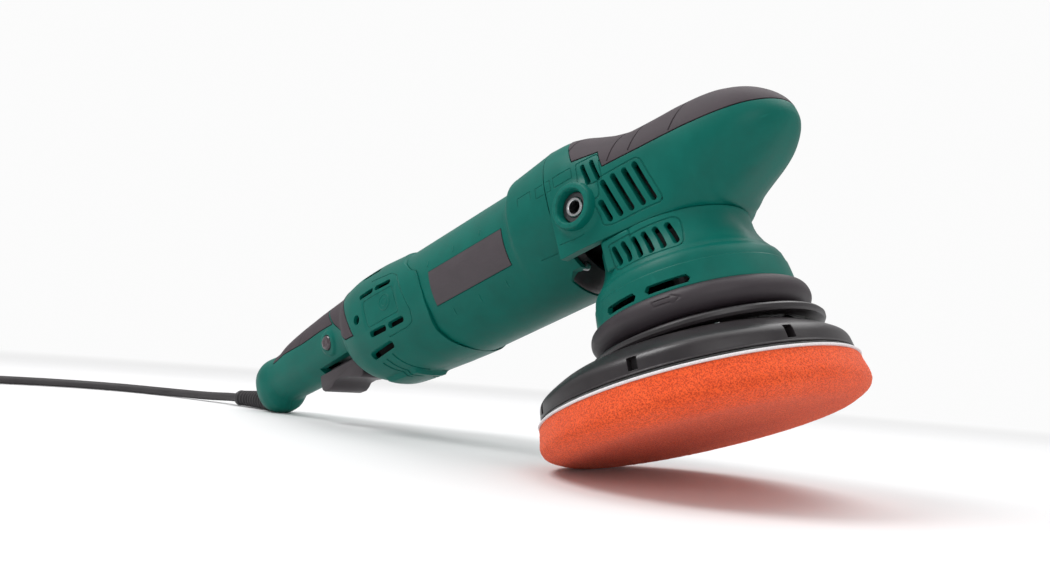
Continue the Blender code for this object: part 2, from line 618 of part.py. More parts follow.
RATIO = GEAR_TEETH / PINION_TEETH
gear_angle = math.degrees(math.atan(RATIO))
cone_len = GEAR_R / math.sin(math.radians(gear_angle))
gear = bevel("gear", GEAR_TEETH, gear_angle, cone_len, cone_len - 7.5, 2.6, 4.2, 0.30, 0.46, 0.0, "spindle", 14.0, 7.3)
finish(gear, "bevel_gear", STEEL, spindle_axis, (0, 0, 0))
pinion = bevel("pinion", PINION_TEETH, 90 - gear_angle, cone_len, cone_len - 7.5, 2.6, 4.2, 0.30, 0.50, 0.5, "motor", 27.0, 2.3)
finish(pinion, "bevel_pinion", STEEL, motor_axis, (0, 0, MOTOR_Z))

# ---------------------------------------------------------------- spindle, eccentric and bearings
finish(turned("spindle", [(0, 116.0), (4.9, 116.0), (4.9, 104.6), (7.0, 104.6), (7.0, 80.8), (9.0, 80.8), (9.0, 78.2), (6.0, 78.2),
                          (6.0, 48.5), (0, 48.5)], n=20), "spindle", STEEL, spindle_axis)
finish(tube("needle", "z", (0, 0), 5.2, 7.8, 109.0, 117.1, 20), "spindle_needle_bearing", STEEL, tool)
finish(tube("ball", "z", (0, 0), 6.3, 15.8, 65.0, 77.0, 20), "spindle_ball_bearing", STEEL, tool)

hub = rod("hub", "z", ECC, 17.5, 25.0, 44.0, 24)
join(hub, rod("neck", "z", (0, 0), 10.5, 40.0, 60.5, 24))
wings = rod("wing", "z", (0, 0), 31.5, 43.0, 57.0, 32)
a = math.radians(ORBIT_ANGLE)
rot = Matrix.Rotation(a, 4, "Z")
blade = box("blade", -60, 4.0, -60, 60, 30, 70)
blade.data.transform(Matrix.Rotation(a, 4, "Z") @ Matrix.Rotation(math.pi, 4, "Z"))
cut(wings, blade)
weight = rod("weight", "z", (0, 0), 38.5, 27.0, 44.0, 32)
blade = box("blade2", -60, 10.5, -60, 60, 20, 60)
blade.data.transform(Matrix.Rotation(a, 4, "Z") @ Matrix.Rotation(math.pi, 4, "Z"))
cut(weight, blade)
join(hub, wings, weight)
cut(hub, rod("shaft_seat", "z", (0, 0), 6.3, 48.2, 70.0, 20))
cut(hub, rod("bearing_seat", "z", ECC, 13.3, 20.0, 38.0, 28), rod("relief", "z", ECC, 8.5, 30.0, 40.5, 20))
finish(hub, "eccentric_counterweight", DARKSTEEL, spindle_axis)
finish(tube("pad_bearing", "z", ECC, 6.3, 13.0, 25.5, 37.7, 20), "pad_bearing", STEEL, spindle_axis)

# ---------------------------------------------------------------- pad side
finish(turned("pad_spindle", [(0, 38.8), (6.0, 38.8), (6.0, 25.2), (9.5, 25.2), (9.5, 19.0), (3.4, 19.0), (3.4, 30.0), (0, 30.0)],
              "z", ECC, 20), "pad_spindle", STEEL, pad_axis, (*ECC, 0))
back = turned("backing", [(3.6, 18.6), (54.0, 18.5), (60.5, 16.7), (69.0, 10.2), (72.0, 6.4),
                          (PLATE_R - 0.6, 4.0), (PLATE_R, 2.3), (9.5, 2.3), (9.5, 8.0), (3.6, 8.0)], "z", ECC, 40)
finish(back, "backing_plate", BLACK, pad_axis, (*ECC, 0))
bolt = rod("bolt", "z", ECC, 3.1, 4.5, 29.4, 14)
join(bolt, rod("bolt_head", "z", ECC, 6.5, 2.6, 7.7, 16))
finish(bolt, "pad_bolt", DARKSTEEL, pad_axis, (*ECC, 0))
finish(rod("hook", "z", ECC, PLATE_R - 1.5, 1.1, 2.0, 40), "hook_layer", HOOK, pad_axis, (*ECC, 0))
finish(rod("velour", "z", ECC, PAD_R, -0.9, 0.8, 40), "pad_backing", WHITE, pad_axis, (*ECC, 0))
foam = turned("foam", [(0, -1.2), (PAD_R, -1.2), (PAD_R - 0.2, -6.0), (PAD_R - 1.2, -10.5), (PAD_R - 3.0, -13.6),
                       (PAD_R - 5.8, -15.9), (PAD_R - 9.0, -17.3), (PAD_R - 13.5, -FOAM_H), (0, -FOAM_H)],
              "z", ECC, 40)
finish(foam, "foam_pad", FOAM, pad_axis, (*ECC, 0))

# ---------------------------------------------------------------- motor
shaft = turned("shaft", [(0, -196.0), (3.4, -196.0), (3.4, -187.0), (4.0, -187.0), (4.0, -54.5), (5.9, -54.5), (5.9, -42.0), (4.0, -42.0), (4.0, -29.5), (2.0, -29.5), (2.0, -16.0), (0, -16.0)],
               "x", CM, 16)
finish(shaft, "armature_shaft", STEEL, motor_axis, (0, 0, MOTOR_Z))
finish(turned("core", [(4.3, -157.0), (15.0, -157.0), (18.0, -150.0), (21.5, -149.0), (21.5, -106.0), (18.0, -105.0), (15.0, -98.5), (4.3, -98.5)],
              "x", CM, 24), "armature_core", COPPER, motor_axis, (0, 0, MOTOR_Z))
finish(tube("commutator", "x", CM, 4.3, 12.0, -179.0, -162.0, 24), "commutator", COPPER, motor_axis, (0, 0, MOTOR_Z))
fan = turned("fan", [(4.3, -92.0), (8.0, -92.0), (8.0, -84.5), (31.5, -80.5), (31.5, -78.5), (8.0, -78.5), (4.3, -78.5)], "x", CM, 20)
for k in range(6):
    b = box("blade", -92.0, -79.5, -0.8, 0.8, 7.0, 31.0)
    b.data.transform(Matrix.Translation((0, 0, MOTOR_Z * MM)) @ Matrix.Rotation(math.pi / 3 * k, 4, "X"))
    join(fan, b)
finish(fan, "cooling_fan", BLACK, motor_axis, (0, 0, MOTOR_Z))
finish(tube("stator", "x", CM, 27.6, 34.8, -150.0, -105.0, 28), "stator_core", DARKSTEEL, tool)
finish(sector("coil_up", MOTOR_Z, 22.8, 27.2, 35, 145, -159.0, -96.5, 10), "field_coil_upper", COPPER, tool)
finish(sector("coil_low", MOTOR_Z, 22.8, 27.2, 215, 325, -159.0, -96.5, 10), "field_coil_lower", COPPER, tool)
finish(tube("rear_bearing", "x", CM, 3.6, 9.5, -195.5, -188.5, 18), "armature_rear_bearing", STEEL, tool)
finish(tube("front_bearing", "x", CM, 6.2, 12.8, -53.8, -43.4, 18), "armature_front_bearing", STEEL, tool)

bracket = tube("ring", "x", CM, 28.5, 34.8, -166.5, -160.5, 28)
join(bracket, tube("seat", "x", CM, 9.8, 13.0, -196.0, -187.0, 24))
for s in (1, -1):
    join(bracket, box("arm", -195.5, -187.5, -5, 5, *sorted((MOTOR_Z + s * 12.0, MOTOR_Z + s * 31.8))),
         box("leg", -194.0, -162.0, -5, 5, *sorted((MOTOR_Z + s * 28.9, MOTOR_Z + s * 31.8))),
         box("holder", -176.0, -161.0, *sorted((s * 13.5, s * 32.0)), MOTOR_Z - 6.5, MOTOR_Z + 6.5))
    cut(bracket, box("brush_way", -173.8, -166.4, *sorted((s * 10.0, s * 30.0)), MOTOR_Z - 4.0, MOTOR_Z + 4.0))
finish(bracket, "brush_bracket", BLACK, tool)
for s, word in ((1, "left"), (-1, "right")):
    finish(box("brush", -173.4, -166.8, *sorted((s * 12.3, s * 26.0)), MOTOR_Z - 3.6, MOTOR_Z + 3.6), f"carbon_brush_{word}", CARBON, tool)


# ---------------------------------------------------------------- cord, boot, coil and plug (room frame, metres)
def from_tool(x, y, z):
    t = math.radians(REST_TILT)
    return Vector(((x * math.cos(t) - z * math.sin(t) + SHIFT_X) * MM, (y + SHIFT_Y) * MM,
                   (x * math.sin(t) + z * math.cos(t) + REST_LIFT) * MM))


def smooth_path(points, count):
    """Points at even spacing on a centripetal spline through the given ones."""
    pts = [Vector(p) for p in points]
    pts = [pts[0] * 2 - pts[1]] + pts + [pts[-1] * 2 - pts[-2]]
    fine = []
    for k in range(1, len(pts) - 2):
        p0, p1, p2, p3 = pts[k - 1:k + 3]
        t0 = 0.0
        t1 = t0 + max(1e-6, (p1 - p0).length) ** 0.5
        t2 = t1 + max(1e-6, (p2 - p1).length) ** 0.5
        t3 = t2 + max(1e-6, (p3 - p2).length) ** 0.5
        for i in range(24):
            t = t1 + (t2 - t1) * i / 24
            a1 = p0 * ((t1 - t) / (t1 - t0)) + p1 * ((t - t0) / (t1 - t0))
            a2 = p1 * ((t2 - t) / (t2 - t1)) + p2 * ((t - t1) / (t2 - t1))
            a3 = p2 * ((t3 - t) / (t3 - t2)) + p3 * ((t - t2) / (t3 - t2))
            b1 = a1 * ((t2 - t) / (t2 - t0)) + a2 * ((t - t0) / (t2 - t0))
            b2 = a2 * ((t3 - t) / (t3 - t1)) + a3 * ((t - t1) / (t3 - t1))
            fine.append(b1 * ((t2 - t) / (t2 - t1)) + b2 * ((t - t1) / (t2 - t1)))
    fine.append(pts[-2])
    run = [0.0]
    for p, q in zip(fine, fine[1:]):
        run.append(run[-1] + (q - p).length)
    out, k = [], 0
    for i in range(count):
        s = run[-1] * i / (count - 1)
        while k < len(run) - 2 and run[k + 1] < s:
            k += 1
        f = (s - run[k]) / max(1e-9, run[k + 1] - run[k])
        out.append(fine[k].lerp(fine[k + 1], min(1, max(0, f))))
    return out


def cord_tube(name, points, radius, mat):
    curve = bpy.data.curves.new(name, "CURVE")
    curve.dimensions = "3D"
    spline = curve.splines.new("POLY")
    spline.points.add(len(points) - 1)
    for sp, p in zip(spline.points, points):
        sp.co = (*p, 1)
    curve.bevel_depth = radius
    curve.bevel_resolution = 2
    curve.use_fill_caps = True
    curve.materials.append(mat)
    obj = bpy.data.objects.new(name, curve)
    scene_col.objects.link(obj)
    return obj


def swept(name, points, radii, n=16):
    """A round body of changing radius along a path in the x-z plane of the room."""
    rings = []
    for k, p in enumerate(points):
        a = points[max(0, k - 1)]
        b = points[min(len(points) - 1, k + 1)]
        t = (b - a).normalized()
        side = Vector((0, 1, 0))
        up = side.cross(t).normalized()
        side = t.cross(up).normalized()
        rings.append([tuple((p + (side * math.cos(2 * math.pi * i / n) + up * math.sin(2 * math.pi * i / n)) * radii[k]) * 1000)
                      for i in range(n)])
    return skin(name, rings)


FLOOR = 0.0
boot_a = from_tool(-360.0, 0, 105.3)
boot_b = from_tool(-376.0, 0, 106.0)
BOOT = smooth_path([boot_a, boot_b, boot_b + Vector((-0.016, 0, -0.0003)), boot_b + Vector((-0.032, -0.0007, -0.0007)),
                    boot_b + Vector((-0.048, -0.0030, -0.0012))], 14)
boot_radii = [7.2, 7.2, 7.2, 7.1, 7.0, 6.9, 6.8, 6.6, 6.5, 6.3, 6.2, 6.1, 6.0, 5.7]
boot = swept("boot", BOOT, [r * MM for r in boot_radii])
finish(boot, "cord_boot", CORD, None)

CORD_Z = CORD_D / 2 * MM + 0.0003
end = BOOT[-1]
lead = (BOOT[-1] - BOOT[-2]).normalized()
start = end + lead * 0.0003
COIL_C = Vector((-0.400, -0.225, 0))
COIL_LEFT = COIL_C.x - (COIL_R + COIL_HALF + 4.2) * MM
coil_top = COIL_HALF * 2 * MM
ROUTE = [start, start + Vector((-0.014, -0.0015, -0.0004)), Vector((start.x - 0.042, start.y - 0.007, CORD_Z + 0.0012)),
         Vector((start.x - 0.095, start.y - 0.021, CORD_Z)), Vector((COIL_LEFT + 0.050, start.y - 0.045, CORD_Z)),
         Vector((COIL_LEFT + 0.018, start.y - 0.082, CORD_Z)), Vector((COIL_LEFT + 0.003, start.y - 0.130, CORD_Z)),
         Vector((COIL_LEFT, COIL_C.y + 0.030, CORD_Z)), Vector((COIL_LEFT, COIL_C.y + 0.002, CORD_Z))]
cord = cord_tube("power_cord", smooth_path(ROUTE, 24), CORD_D / 2 * MM, CORD)

coil = turned("coil", [(COIL_R - COIL_HALF, 4.0), (COIL_R - COIL_HALF + 4, 0.2), (COIL_R + COIL_HALF - 4, 0.2), (COIL_R + COIL_HALF, 4.0),
                       (COIL_R + COIL_HALF, 24.0), (COIL_R + COIL_HALF - 4, 28.0), (COIL_R - COIL_HALF + 4, 28.0), (COIL_R - COIL_HALF, 24.0)],
              "z", (COIL_C.x * 1000, COIL_C.y * 1000), 28)
finish(coil, "cord_coil", CORD, None)

PLUG = Vector((COIL_C.x + 0.030, COIL_C.y - 0.092, 0.0092))
plug = skin("plug", [[((PLUG.x + dx) * 1000, (PLUG.y + w * math.cos(t)) * 1000, (PLUG.z + h * math.sin(t)) * 1000)
                      for t in [2 * math.pi * (i + 0.5) / 20 for i in range(20)]]
                     for dx, w, h in ((-0.024, 0.0062, 0.0060), (-0.016, 0.0085, 0.0072), (0.0, 0.0150, 0.0088), (0.014, 0.0175, 0.0090), (0.026, 0.0170, 0.0090))])
finish(plug, "plug_body", CORD, None)
for i, s in enumerate((1, -1)):
    p = turned("pin", [(0, (PLUG.x + 0.0263) * 1000), (2.4, (PLUG.x + 0.0263) * 1000), (2.4, (PLUG.x + 0.0440) * 1000), (1.6, (PLUG.x + 0.0452) * 1000), (0, (PLUG.x + 0.0452) * 1000)],
               "x", ((PLUG.y + s * 0.0093) * 1000, PLUG.z * 1000), 12)
    finish(p, f"plug_pin_{i + 1}", BRASS, None)
tail_a = Vector((COIL_C.x - (COIL_R + COIL_HALF + 4.2) * MM, COIL_C.y - 0.006, CORD_Z))
TAIL = [tail_a, tail_a + Vector((0.000, -0.022, 0)), Vector((COIL_C.x - 0.045, COIL_C.y - 0.066, CORD_Z)),
        Vector((COIL_C.x - 0.018, PLUG.y + 0.003, CORD_Z + 0.002)), Vector((PLUG.x - 0.0335, PLUG.y, PLUG.z - 0.0012)),
        Vector((PLUG.x - 0.0250, PLUG.y, PLUG.z))]
cord_tube("plug_lead", smooth_path(TAIL, 10), CORD_D / 2 * MM, CORD)
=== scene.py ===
"""Dual-action polisher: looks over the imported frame.

Shapes are built in the tool's own frame, in millimetres: x forward to the head, y to the tool's left,
z up along the spindle, origin on the spindle axis at the pad's top face. TOOL takes them to the row frame.
"""
import math

import bmesh
import bpy
import numpy as np
from mathutils import Matrix, Vector, noise
from mathutils.bvhtree import BVHTree


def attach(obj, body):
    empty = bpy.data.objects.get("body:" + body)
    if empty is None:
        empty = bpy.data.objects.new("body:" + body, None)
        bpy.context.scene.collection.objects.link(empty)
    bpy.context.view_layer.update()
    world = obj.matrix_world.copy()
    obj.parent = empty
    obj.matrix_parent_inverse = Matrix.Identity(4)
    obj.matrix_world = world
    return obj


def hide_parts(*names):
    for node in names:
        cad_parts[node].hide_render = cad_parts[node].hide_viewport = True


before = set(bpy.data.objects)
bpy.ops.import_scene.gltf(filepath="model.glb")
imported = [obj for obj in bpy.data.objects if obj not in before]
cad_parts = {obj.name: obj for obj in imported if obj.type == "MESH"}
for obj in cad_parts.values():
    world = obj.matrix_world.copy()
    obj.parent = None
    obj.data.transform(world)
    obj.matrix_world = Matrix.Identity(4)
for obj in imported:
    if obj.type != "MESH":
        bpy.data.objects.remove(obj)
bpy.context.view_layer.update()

SCENE = bpy.context.scene.collection
MM = 0.001

TILT, LIFT, SHIFT_X, SHIFT_Y = 20.949, 43.18, 166.31, 3.93
TOOL = Matrix.Translation((SHIFT_X * MM, SHIFT_Y * MM, LIFT * MM)) @ Matrix.Rotation(-math.radians(TILT), 4, "Y")
MOTOR_Z, MOTOR_R = 106.0, 38.0
ORBIT, ORBIT_ANGLE = 10.5, 202.0
ECC = (ORBIT * math.cos(math.radians(ORBIT_ANGLE)), ORBIT * math.sin(math.radians(ORBIT_ANGLE)))
PAD_R, PLATE_R, FOAM_H = 75.0, 74.0, 17.8
BOSS_X, BOSS_Z, BOSS_Y = -25.0, 98.0, 45.7
CM = (0, MOTOR_Z)

# ================================================================ camera
cam = bpy.data.cameras.new("camera")
cam.sensor_width = 36.0
cam.lens = 800.0 / 1050.0 * 36.0
cam.clip_start = 0.01
cam.clip_end = 30.0
camera = bpy.data.objects.new("camera", cam)
SCENE.objects.link(camera)
R = Matrix(((0.70820628, 0.6804424, -0.18826049), (0.37116109, -0.13200423, 0.91913782),
            (0.60056916, -0.72081414, -0.34603997)))
camera.matrix_world = TOOL @ Matrix.Translation((0.17503223, -0.3298194, -0.06483835)) @ R.transposed().to_4x4()
bpy.context.scene.camera = camera
bpy.context.scene.view_settings.view_transform = "Standard"


# ================================================================ materials
def tree(name):
    m = bpy.data.materials.new(name)
    m.use_nodes = True
    t = m.node_tree
    return m, t, t.nodes["Principled BSDF"]


def node(t, kind, **values):
    n = t.nodes.new(kind)
    for k, v in values.items():
        if k in n.inputs:
            n.inputs[k].default_value = v
        else:
            setattr(n, k, v)
    return n


def noise_at(t, scale, detail=3.0, rough=0.5, stretch=None):
    co = node(t, "ShaderNodeTexCoord")
    out = co.outputs["Object"]
    if stretch:
        mp = node(t, "ShaderNodeMapping")
        mp.inputs["Scale"].default_value = stretch
        t.links.new(out, mp.inputs["Vector"])
        out = mp.outputs["Vector"]
    n = node(t, "ShaderNodeTexNoise", Scale=scale, Detail=detail, Roughness=rough)
    t.links.new(out, n.inputs["Vector"])
    return n


def ramp(t, source, stops):
    r = node(t, "ShaderNodeValToRGB")
    e = r.color_ramp.elements
    e[0].position, e[0].color = stops[0][0], (*stops[0][1], 1)
    e[1].position, e[1].color = stops[-1][0], (*stops[-1][1], 1)
    for p, c in stops[1:-1]:
        x = e.new(p)
        x.color = (*c, 1)
    t.links.new(source, r.inputs["Fac"])
    return r


def spread(t, source, low, high, a=0.3, b=0.7):
    m = node(t, "ShaderNodeMapRange")
    m.inputs["From Min"].default_value = a
    m.inputs["From Max"].default_value = b
    m.inputs["To Min"].default_value = low
    m.inputs["To Max"].default_value = high
    t.links.new(source, m.inputs["Value"])
    return m


def moulded(name, dark, light, rough, grain=2600.0, bump=0.12, edge=0.35, spec=0.5, edge_highlight=0.0, mottle=60.0, coat=0.0):
    """Moulded plastic or rubber: fine grain, faint cloudiness, convex edges lightened as a painted edge highlight."""
    m, t, b = tree(name)
    cloud = noise_at(t, mottle, 4.0, 0.6)
    col = ramp(t, cloud.outputs["Fac"], [(0.32, dark), (0.68, light)])
    fine = noise_at(t, grain, 2.0, 0.6)
    colour = col.outputs["Color"]
    # lighter colour on convex edges, read from Pointiness: a painted edge highlight
    if edge_highlight:
        geo = node(t, "ShaderNodeNewGeometry")
        edge_highlight_mask = node(t, "ShaderNodeMapRange")
        edge_highlight_mask.inputs["From Min"].default_value = 0.52
        edge_highlight_mask.inputs["From Max"].default_value = 0.62
        t.links.new(geo.outputs["Pointiness"], edge_highlight_mask.inputs["Value"])
        mul = node(t, "ShaderNodeMath", operation="MULTIPLY")
        mul.inputs[1].default_value = edge_highlight
        t.links.new(edge_highlight_mask.outputs["Result"], mul.inputs[0])
        mix = node(t, "ShaderNodeMix", data_type="RGBA")
        mix.inputs[7].default_value = (*[min(1, c * 1.9 + 0.02) for c in light], 1)
        t.links.new(mul.outputs[0], mix.inputs[0])
        t.links.new(colour, mix.inputs[6])
        colour = mix.outputs[2]
    t.links.new(colour, b.inputs["Base Color"])
    ro = spread(t, cloud.outputs["Fac"], rough - 0.05, rough + 0.07)
    add = node(t, "ShaderNodeMath", operation="MULTIPLY_ADD")
    add.inputs[1].default_value = 0.10
    t.links.new(fine.outputs["Fac"], add.inputs[0])
    t.links.new(ro.outputs["Result"], add.inputs[2])
    t.links.new(add.outputs[0], b.inputs["Roughness"])
    b.inputs["Specular IOR Level"].default_value = spec
    if coat:
        b.inputs["Coat Weight"].default_value = coat
        b.inputs["Coat Roughness"].default_value = 0.25
    bu = node(t, "ShaderNodeBump", Strength=bump, Distance=0.0002)
    t.links.new(fine.outputs["Fac"], bu.inputs["Height"])
    if edge:
        bev = node(t, "ShaderNodeBevel")
        bev.samples = 4
        bev.inputs["Radius"].default_value = edge * MM
        t.links.new(bev.outputs["Normal"], bu.inputs["Normal"])
    t.links.new(bu.outputs["Normal"], b.inputs["Normal"])
    return m


def metal(name, colour, rough, stretch=None, bump=0.15, scale=900.0):
    m, t, b = tree(name)
    n = noise_at(t, scale, 3.0, 0.6, stretch)
    c = ramp(t, n.outputs["Fac"], [(0.3, [x * 0.8 for x in colour]), (0.7, colour)])
    t.links.new(c.outputs["Color"], b.inputs["Base Color"])
    b.inputs["Metallic"].default_value = 1.0
    ro = spread(t, n.outputs["Fac"], rough - 0.08, rough + 0.1)
    t.links.new(ro.outputs["Result"], b.inputs["Roughness"])
    bu = node(t, "ShaderNodeBump", Strength=bump, Distance=0.0001)
    t.links.new(n.outputs["Fac"], bu.inputs["Height"])
    t.links.new(bu.outputs["Normal"], b.inputs["Normal"])
    return m


def foam_material():
    m, t, b = tree("orange_foam")
    pores = node(t, "ShaderNodeTexVoronoi", Scale=1700.0)
    big = node(t, "ShaderNodeTexVoronoi", Scale=1000.0)
    co = node(t, "ShaderNodeTexCoord")
    warp = noise_at(t, 900.0, 2.0)
    mixv = node(t, "ShaderNodeVectorMath", operation="MULTIPLY_ADD")
    mixv.inputs[1].default_value = (0.0006, 0.0006, 0.0006)
    t.links.new(warp.outputs["Color"], mixv.inputs[0])
    t.links.new(co.outputs["Object"], mixv.inputs[2])
    t.links.new(mixv.outputs[0], pores.inputs["Vector"])
    t.links.new(mixv.outputs[0], big.inputs["Vector"])
    cloud = noise_at(t, 45.0, 4.0, 0.6)
    base = ramp(t, cloud.outputs["Fac"], [(0.3, (0.84, 0.100, 0.020)), (0.7, (0.93, 0.128, 0.030))])
    pit = node(t, "ShaderNodeMapRange")
    pit.inputs["From Min"].default_value = 0.10
    pit.inputs["From Max"].default_value = 0.62
    t.links.new(pores.outputs["Distance"], pit.inputs["Value"])
    pit2 = node(t, "ShaderNodeMapRange")
    pit2.inputs["From Min"].default_value = 0.05
    pit2.inputs["From Max"].default_value = 0.50
    t.links.new(big.outputs["Distance"], pit2.inputs["Value"])
    both = node(t, "ShaderNodeMath", operation="MULTIPLY")
    t.links.new(pit.outputs["Result"], both.inputs[0])
    t.links.new(pit2.outputs["Result"], both.inputs[1])
    mix = node(t, "ShaderNodeMix", data_type="RGBA")
    mix.inputs[6].default_value = (0.50, 0.042, 0.010, 1)
    t.links.new(both.outputs[0], mix.inputs[0])
    t.links.new(base.outputs["Color"], mix.inputs[7])
    t.links.new(mix.outputs[2], b.inputs["Base Color"])
    b.inputs["Roughness"].default_value = 0.95
    b.inputs["Specular IOR Level"].default_value = 0.25
    b.inputs["Sheen Weight"].default_value = 0.1
    b.inputs["Sheen Roughness"].default_value = 0.6
    b.inputs["Subsurface Weight"].default_value = 0.1
    b.inputs["Subsurface Radius"].default_value = (0.004, 0.0012, 0.0005)
    b.inputs["Subsurface Scale"].default_value = 1.0
    bu = node(t, "ShaderNodeBump", Strength=0.6, Distance=0.0003)
    t.links.new(both.outputs[0], bu.inputs["Height"])
    fine = noise_at(t, 2400.0, 3.0, 0.7)
    bu2 = node(t, "ShaderNodeBump", Strength=0.5, Distance=0.0002)
    t.links.new(fine.outputs["Fac"], bu2.inputs["Height"])
    t.links.new(bu.outputs["Normal"], bu2.inputs["Normal"])
    t.links.new(bu2.outputs["Normal"], b.inputs["Normal"])
    return m


def cloth(name, dark, light, scale, bump):
    m, t, b = tree(name)
    n = noise_at(t, scale, 4.0, 0.75)
    c = ramp(t, n.outputs["Fac"], [(0.3, dark), (0.7, light)])
    t.links.new(c.outputs["Color"], b.inputs["Base Color"])
    b.inputs["Roughness"].default_value = 0.95
    b.inputs["Sheen Weight"].default_value = 0.4
    b.inputs["Sheen Roughness"].default_value = 0.5
    bu = node(t, "ShaderNodeBump", Strength=bump, Distance=0.0004)
    t.links.new(n.outputs["Fac"], bu.inputs["Height"])
    t.links.new(bu.outputs["Normal"], b.inputs["Normal"])
    return m


GREEN = moulded("green_plastic", (0.0, 0.100, 0.078), (0.0, 0.122, 0.095), 0.36, 2300.0, 0.16, 0.5, 0.16, 0.12, 55.0)
SOFT = moulded("soft_grip", (0.044, 0.034, 0.040), (0.060, 0.047, 0.054), 0.58, 3200.0, 0.30, 0.4, 0.25, 0.12, 80.0)
BUMPER = moulded("bumper_rubber", (0.026, 0.019, 0.024), (0.036, 0.028, 0.033), 0.44, 2600.0, 0.12, 0.5, 0.4, 0.0, 40.0)
BLACK = moulded("black_plastic", (0.014, 0.011, 0.013), (0.022, 0.018, 0.020), 0.30, 2400.0, 0.15, 0.4, 0.5, 0.1, 60.0)
TRIGGER = moulded("trigger_plastic", (0.026, 0.019, 0.023), (0.038, 0.029, 0.034), 0.42, 2400.0, 0.18, 0.5, 0.5, 0.1, 60.0)
GLOSS = moulded("gloss_black", (0.022, 0.012, 0.017), (0.036, 0.018, 0.026), 0.16, 900.0, 0.02, 0.4, 0.6, 0.0, 60.0, 0.5)
CASE_BLACK = moulded("case_black", (0.010, 0.008, 0.009), (0.018, 0.014, 0.016), 0.26, 900.0, 0.05, 0.3, 0.6, 0.0, 60.0)
LABEL = moulded("label_film", (0.050, 0.040, 0.046), (0.060, 0.048, 0.055), 0.48, 4000.0, 0.08, 0.0, 0.4, 0.0, 90.0)
CORD = moulded("cord_rubber", (0.028, 0.025, 0.027), (0.042, 0.038, 0.040), 0.52, 1800.0, 0.20, 0.3, 0.4, 0.0, 60.0)
# near-black material for the sheet behind the rear vent slots: painted shade
VENT_SHADE = moulded("painted_vent_shade", (0.004, 0.004, 0.004), (0.008, 0.008, 0.008), 0.8, 800.0, 0.1, 0.0, 0.1)
FOAM = foam_material()
VELOUR = cloth("white_velour", (0.66, 0.63, 0.65), (0.90, 0.88, 0.89), 1500.0, 0.9)
HOOK = cloth("hook_tape", (0.012, 0.012, 0.012), (0.05, 0.05, 0.05), 2200.0, 1.0)
STEEL = metal("machined_steel", (0.52, 0.52, 0.53), 0.3, (1, 1, 12))
DARK_STEEL = metal("blackened_steel", (0.12, 0.12, 0.125), 0.38)
CASE = metal("cast_case", (0.07, 0.066, 0.068), 0.5, None, 0.5, 700.0)
COPPER = metal("enamelled_copper", (0.72, 0.30, 0.13), 0.35, (30, 1, 1))
BRASS = metal("nickel_pin", (0.75, 0.70, 0.58), 0.22)
CARBON = moulded("carbon", (0.02, 0.02, 0.02), (0.04, 0.04, 0.04), 0.6)

CAD_LOOK = {
    "switch_body": BLACK, "speed_module": BLACK, "cord_clamp": BLACK, "brush_bracket": BLACK, "cooling_fan": BLACK,
    "handle_screw_front": DARK_STEEL, "handle_screw_rear": DARK_STEEL, "gear_case": CASE, "bearing_plate": CASE,
    "bearing_plate_screw_1": STEEL, "bearing_plate_screw_2": STEEL, "bevel_gear": STEEL, "bevel_pinion": STEEL,
    "spindle": STEEL, "spindle_needle_bearing": STEEL, "spindle_ball_bearing": STEEL, "eccentric_counterweight": DARK_STEEL,
    "pad_bearing": STEEL, "pad_spindle": STEEL, "pad_bolt": DARK_STEEL, "hook_layer": HOOK, "armature_shaft": STEEL,
    "armature_core": COPPER, "commutator": COPPER, "stator_core": DARK_STEEL, "field_coil_upper": COPPER,
    "field_coil_lower": COPPER, "armature_rear_bearing": STEEL, "armature_front_bearing": STEEL,
    "carbon_brush_left": CARBON, "carbon_brush_right": CARBON, "plug_pin_1": BRASS, "plug_pin_2": BRASS,
    "label_plate": LABEL, "rating_plate": LABEL, "side_handle_socket_left": DARK_STEEL,
    "side_handle_socket_right": DARK_STEEL, "speed_dial": BLACK,
}
for name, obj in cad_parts.items():
    look = CAD_LOOK.get(name, GREEN)
    obj.data.materials.clear()
    obj.data.materials.append(look)


# ================================================================ cord
CORD_R = 3.5
CX, CY = -400.0, -225.0
LEFT = CX - 60.2


def from_tool(x, y, z):
    return TOOL @ (Vector((x, y, z)) * MM)


def smooth_path(points, step):
    pts = [Vector(p) for p in points]
    pts = [pts[0] * 2 - pts[1]] + pts + [pts[-1] * 2 - pts[-2]]
    fine = []
    for k in range(1, len(pts) - 2):
        p0, p1, p2, p3 = pts[k - 1:k + 3]
        t0 = 0.0
        t1 = t0 + max(1e-6, (p1 - p0).length) ** 0.5
        t2 = t1 + max(1e-6, (p2 - p1).length) ** 0.5
        t3 = t2 + max(1e-6, (p3 - p2).length) ** 0.5
        for i in range(24):
            u = t1 + (t2 - t1) * i / 24
            a1 = p0 * ((t1 - u) / (t1 - t0)) + p1 * ((u - t0) / (t1 - t0))
            a2 = p1 * ((t2 - u) / (t2 - t1)) + p2 * ((u - t1) / (t2 - t1))
            a3 = p2 * ((t3 - u) / (t3 - t2)) + p3 * ((u - t2) / (t3 - t2))
            b1 = a1 * ((t2 - u) / (t2 - t0)) + a2 * ((u - t0) / (t2 - t0))
            b2 = a2 * ((t3 - u) / (t3 - t1)) + a3 * ((u - t1) / (t3 - t1))
            fine.append(b1 * ((t2 - u) / (t2 - t1)) + b2 * ((u - t1) / (t2 - t1)))
    fine.append(pts[-2])
    run = [0.0]
    for p, q in zip(fine, fine[1:]):
        run.append(run[-1] + (q - p).length)
    count = max(4, int(run[-1] / step) + 1)
    out, k = [], 0
    for i in range(count):
        s = run[-1] * i / (count - 1)
        while k < len(run) - 2 and run[k + 1] < s:
            k += 1
        f = (s - run[k]) / max(1e-9, run[k + 1] - run[k])
        out.append(fine[k].lerp(fine[k + 1], min(1, max(0, f))))
    return out


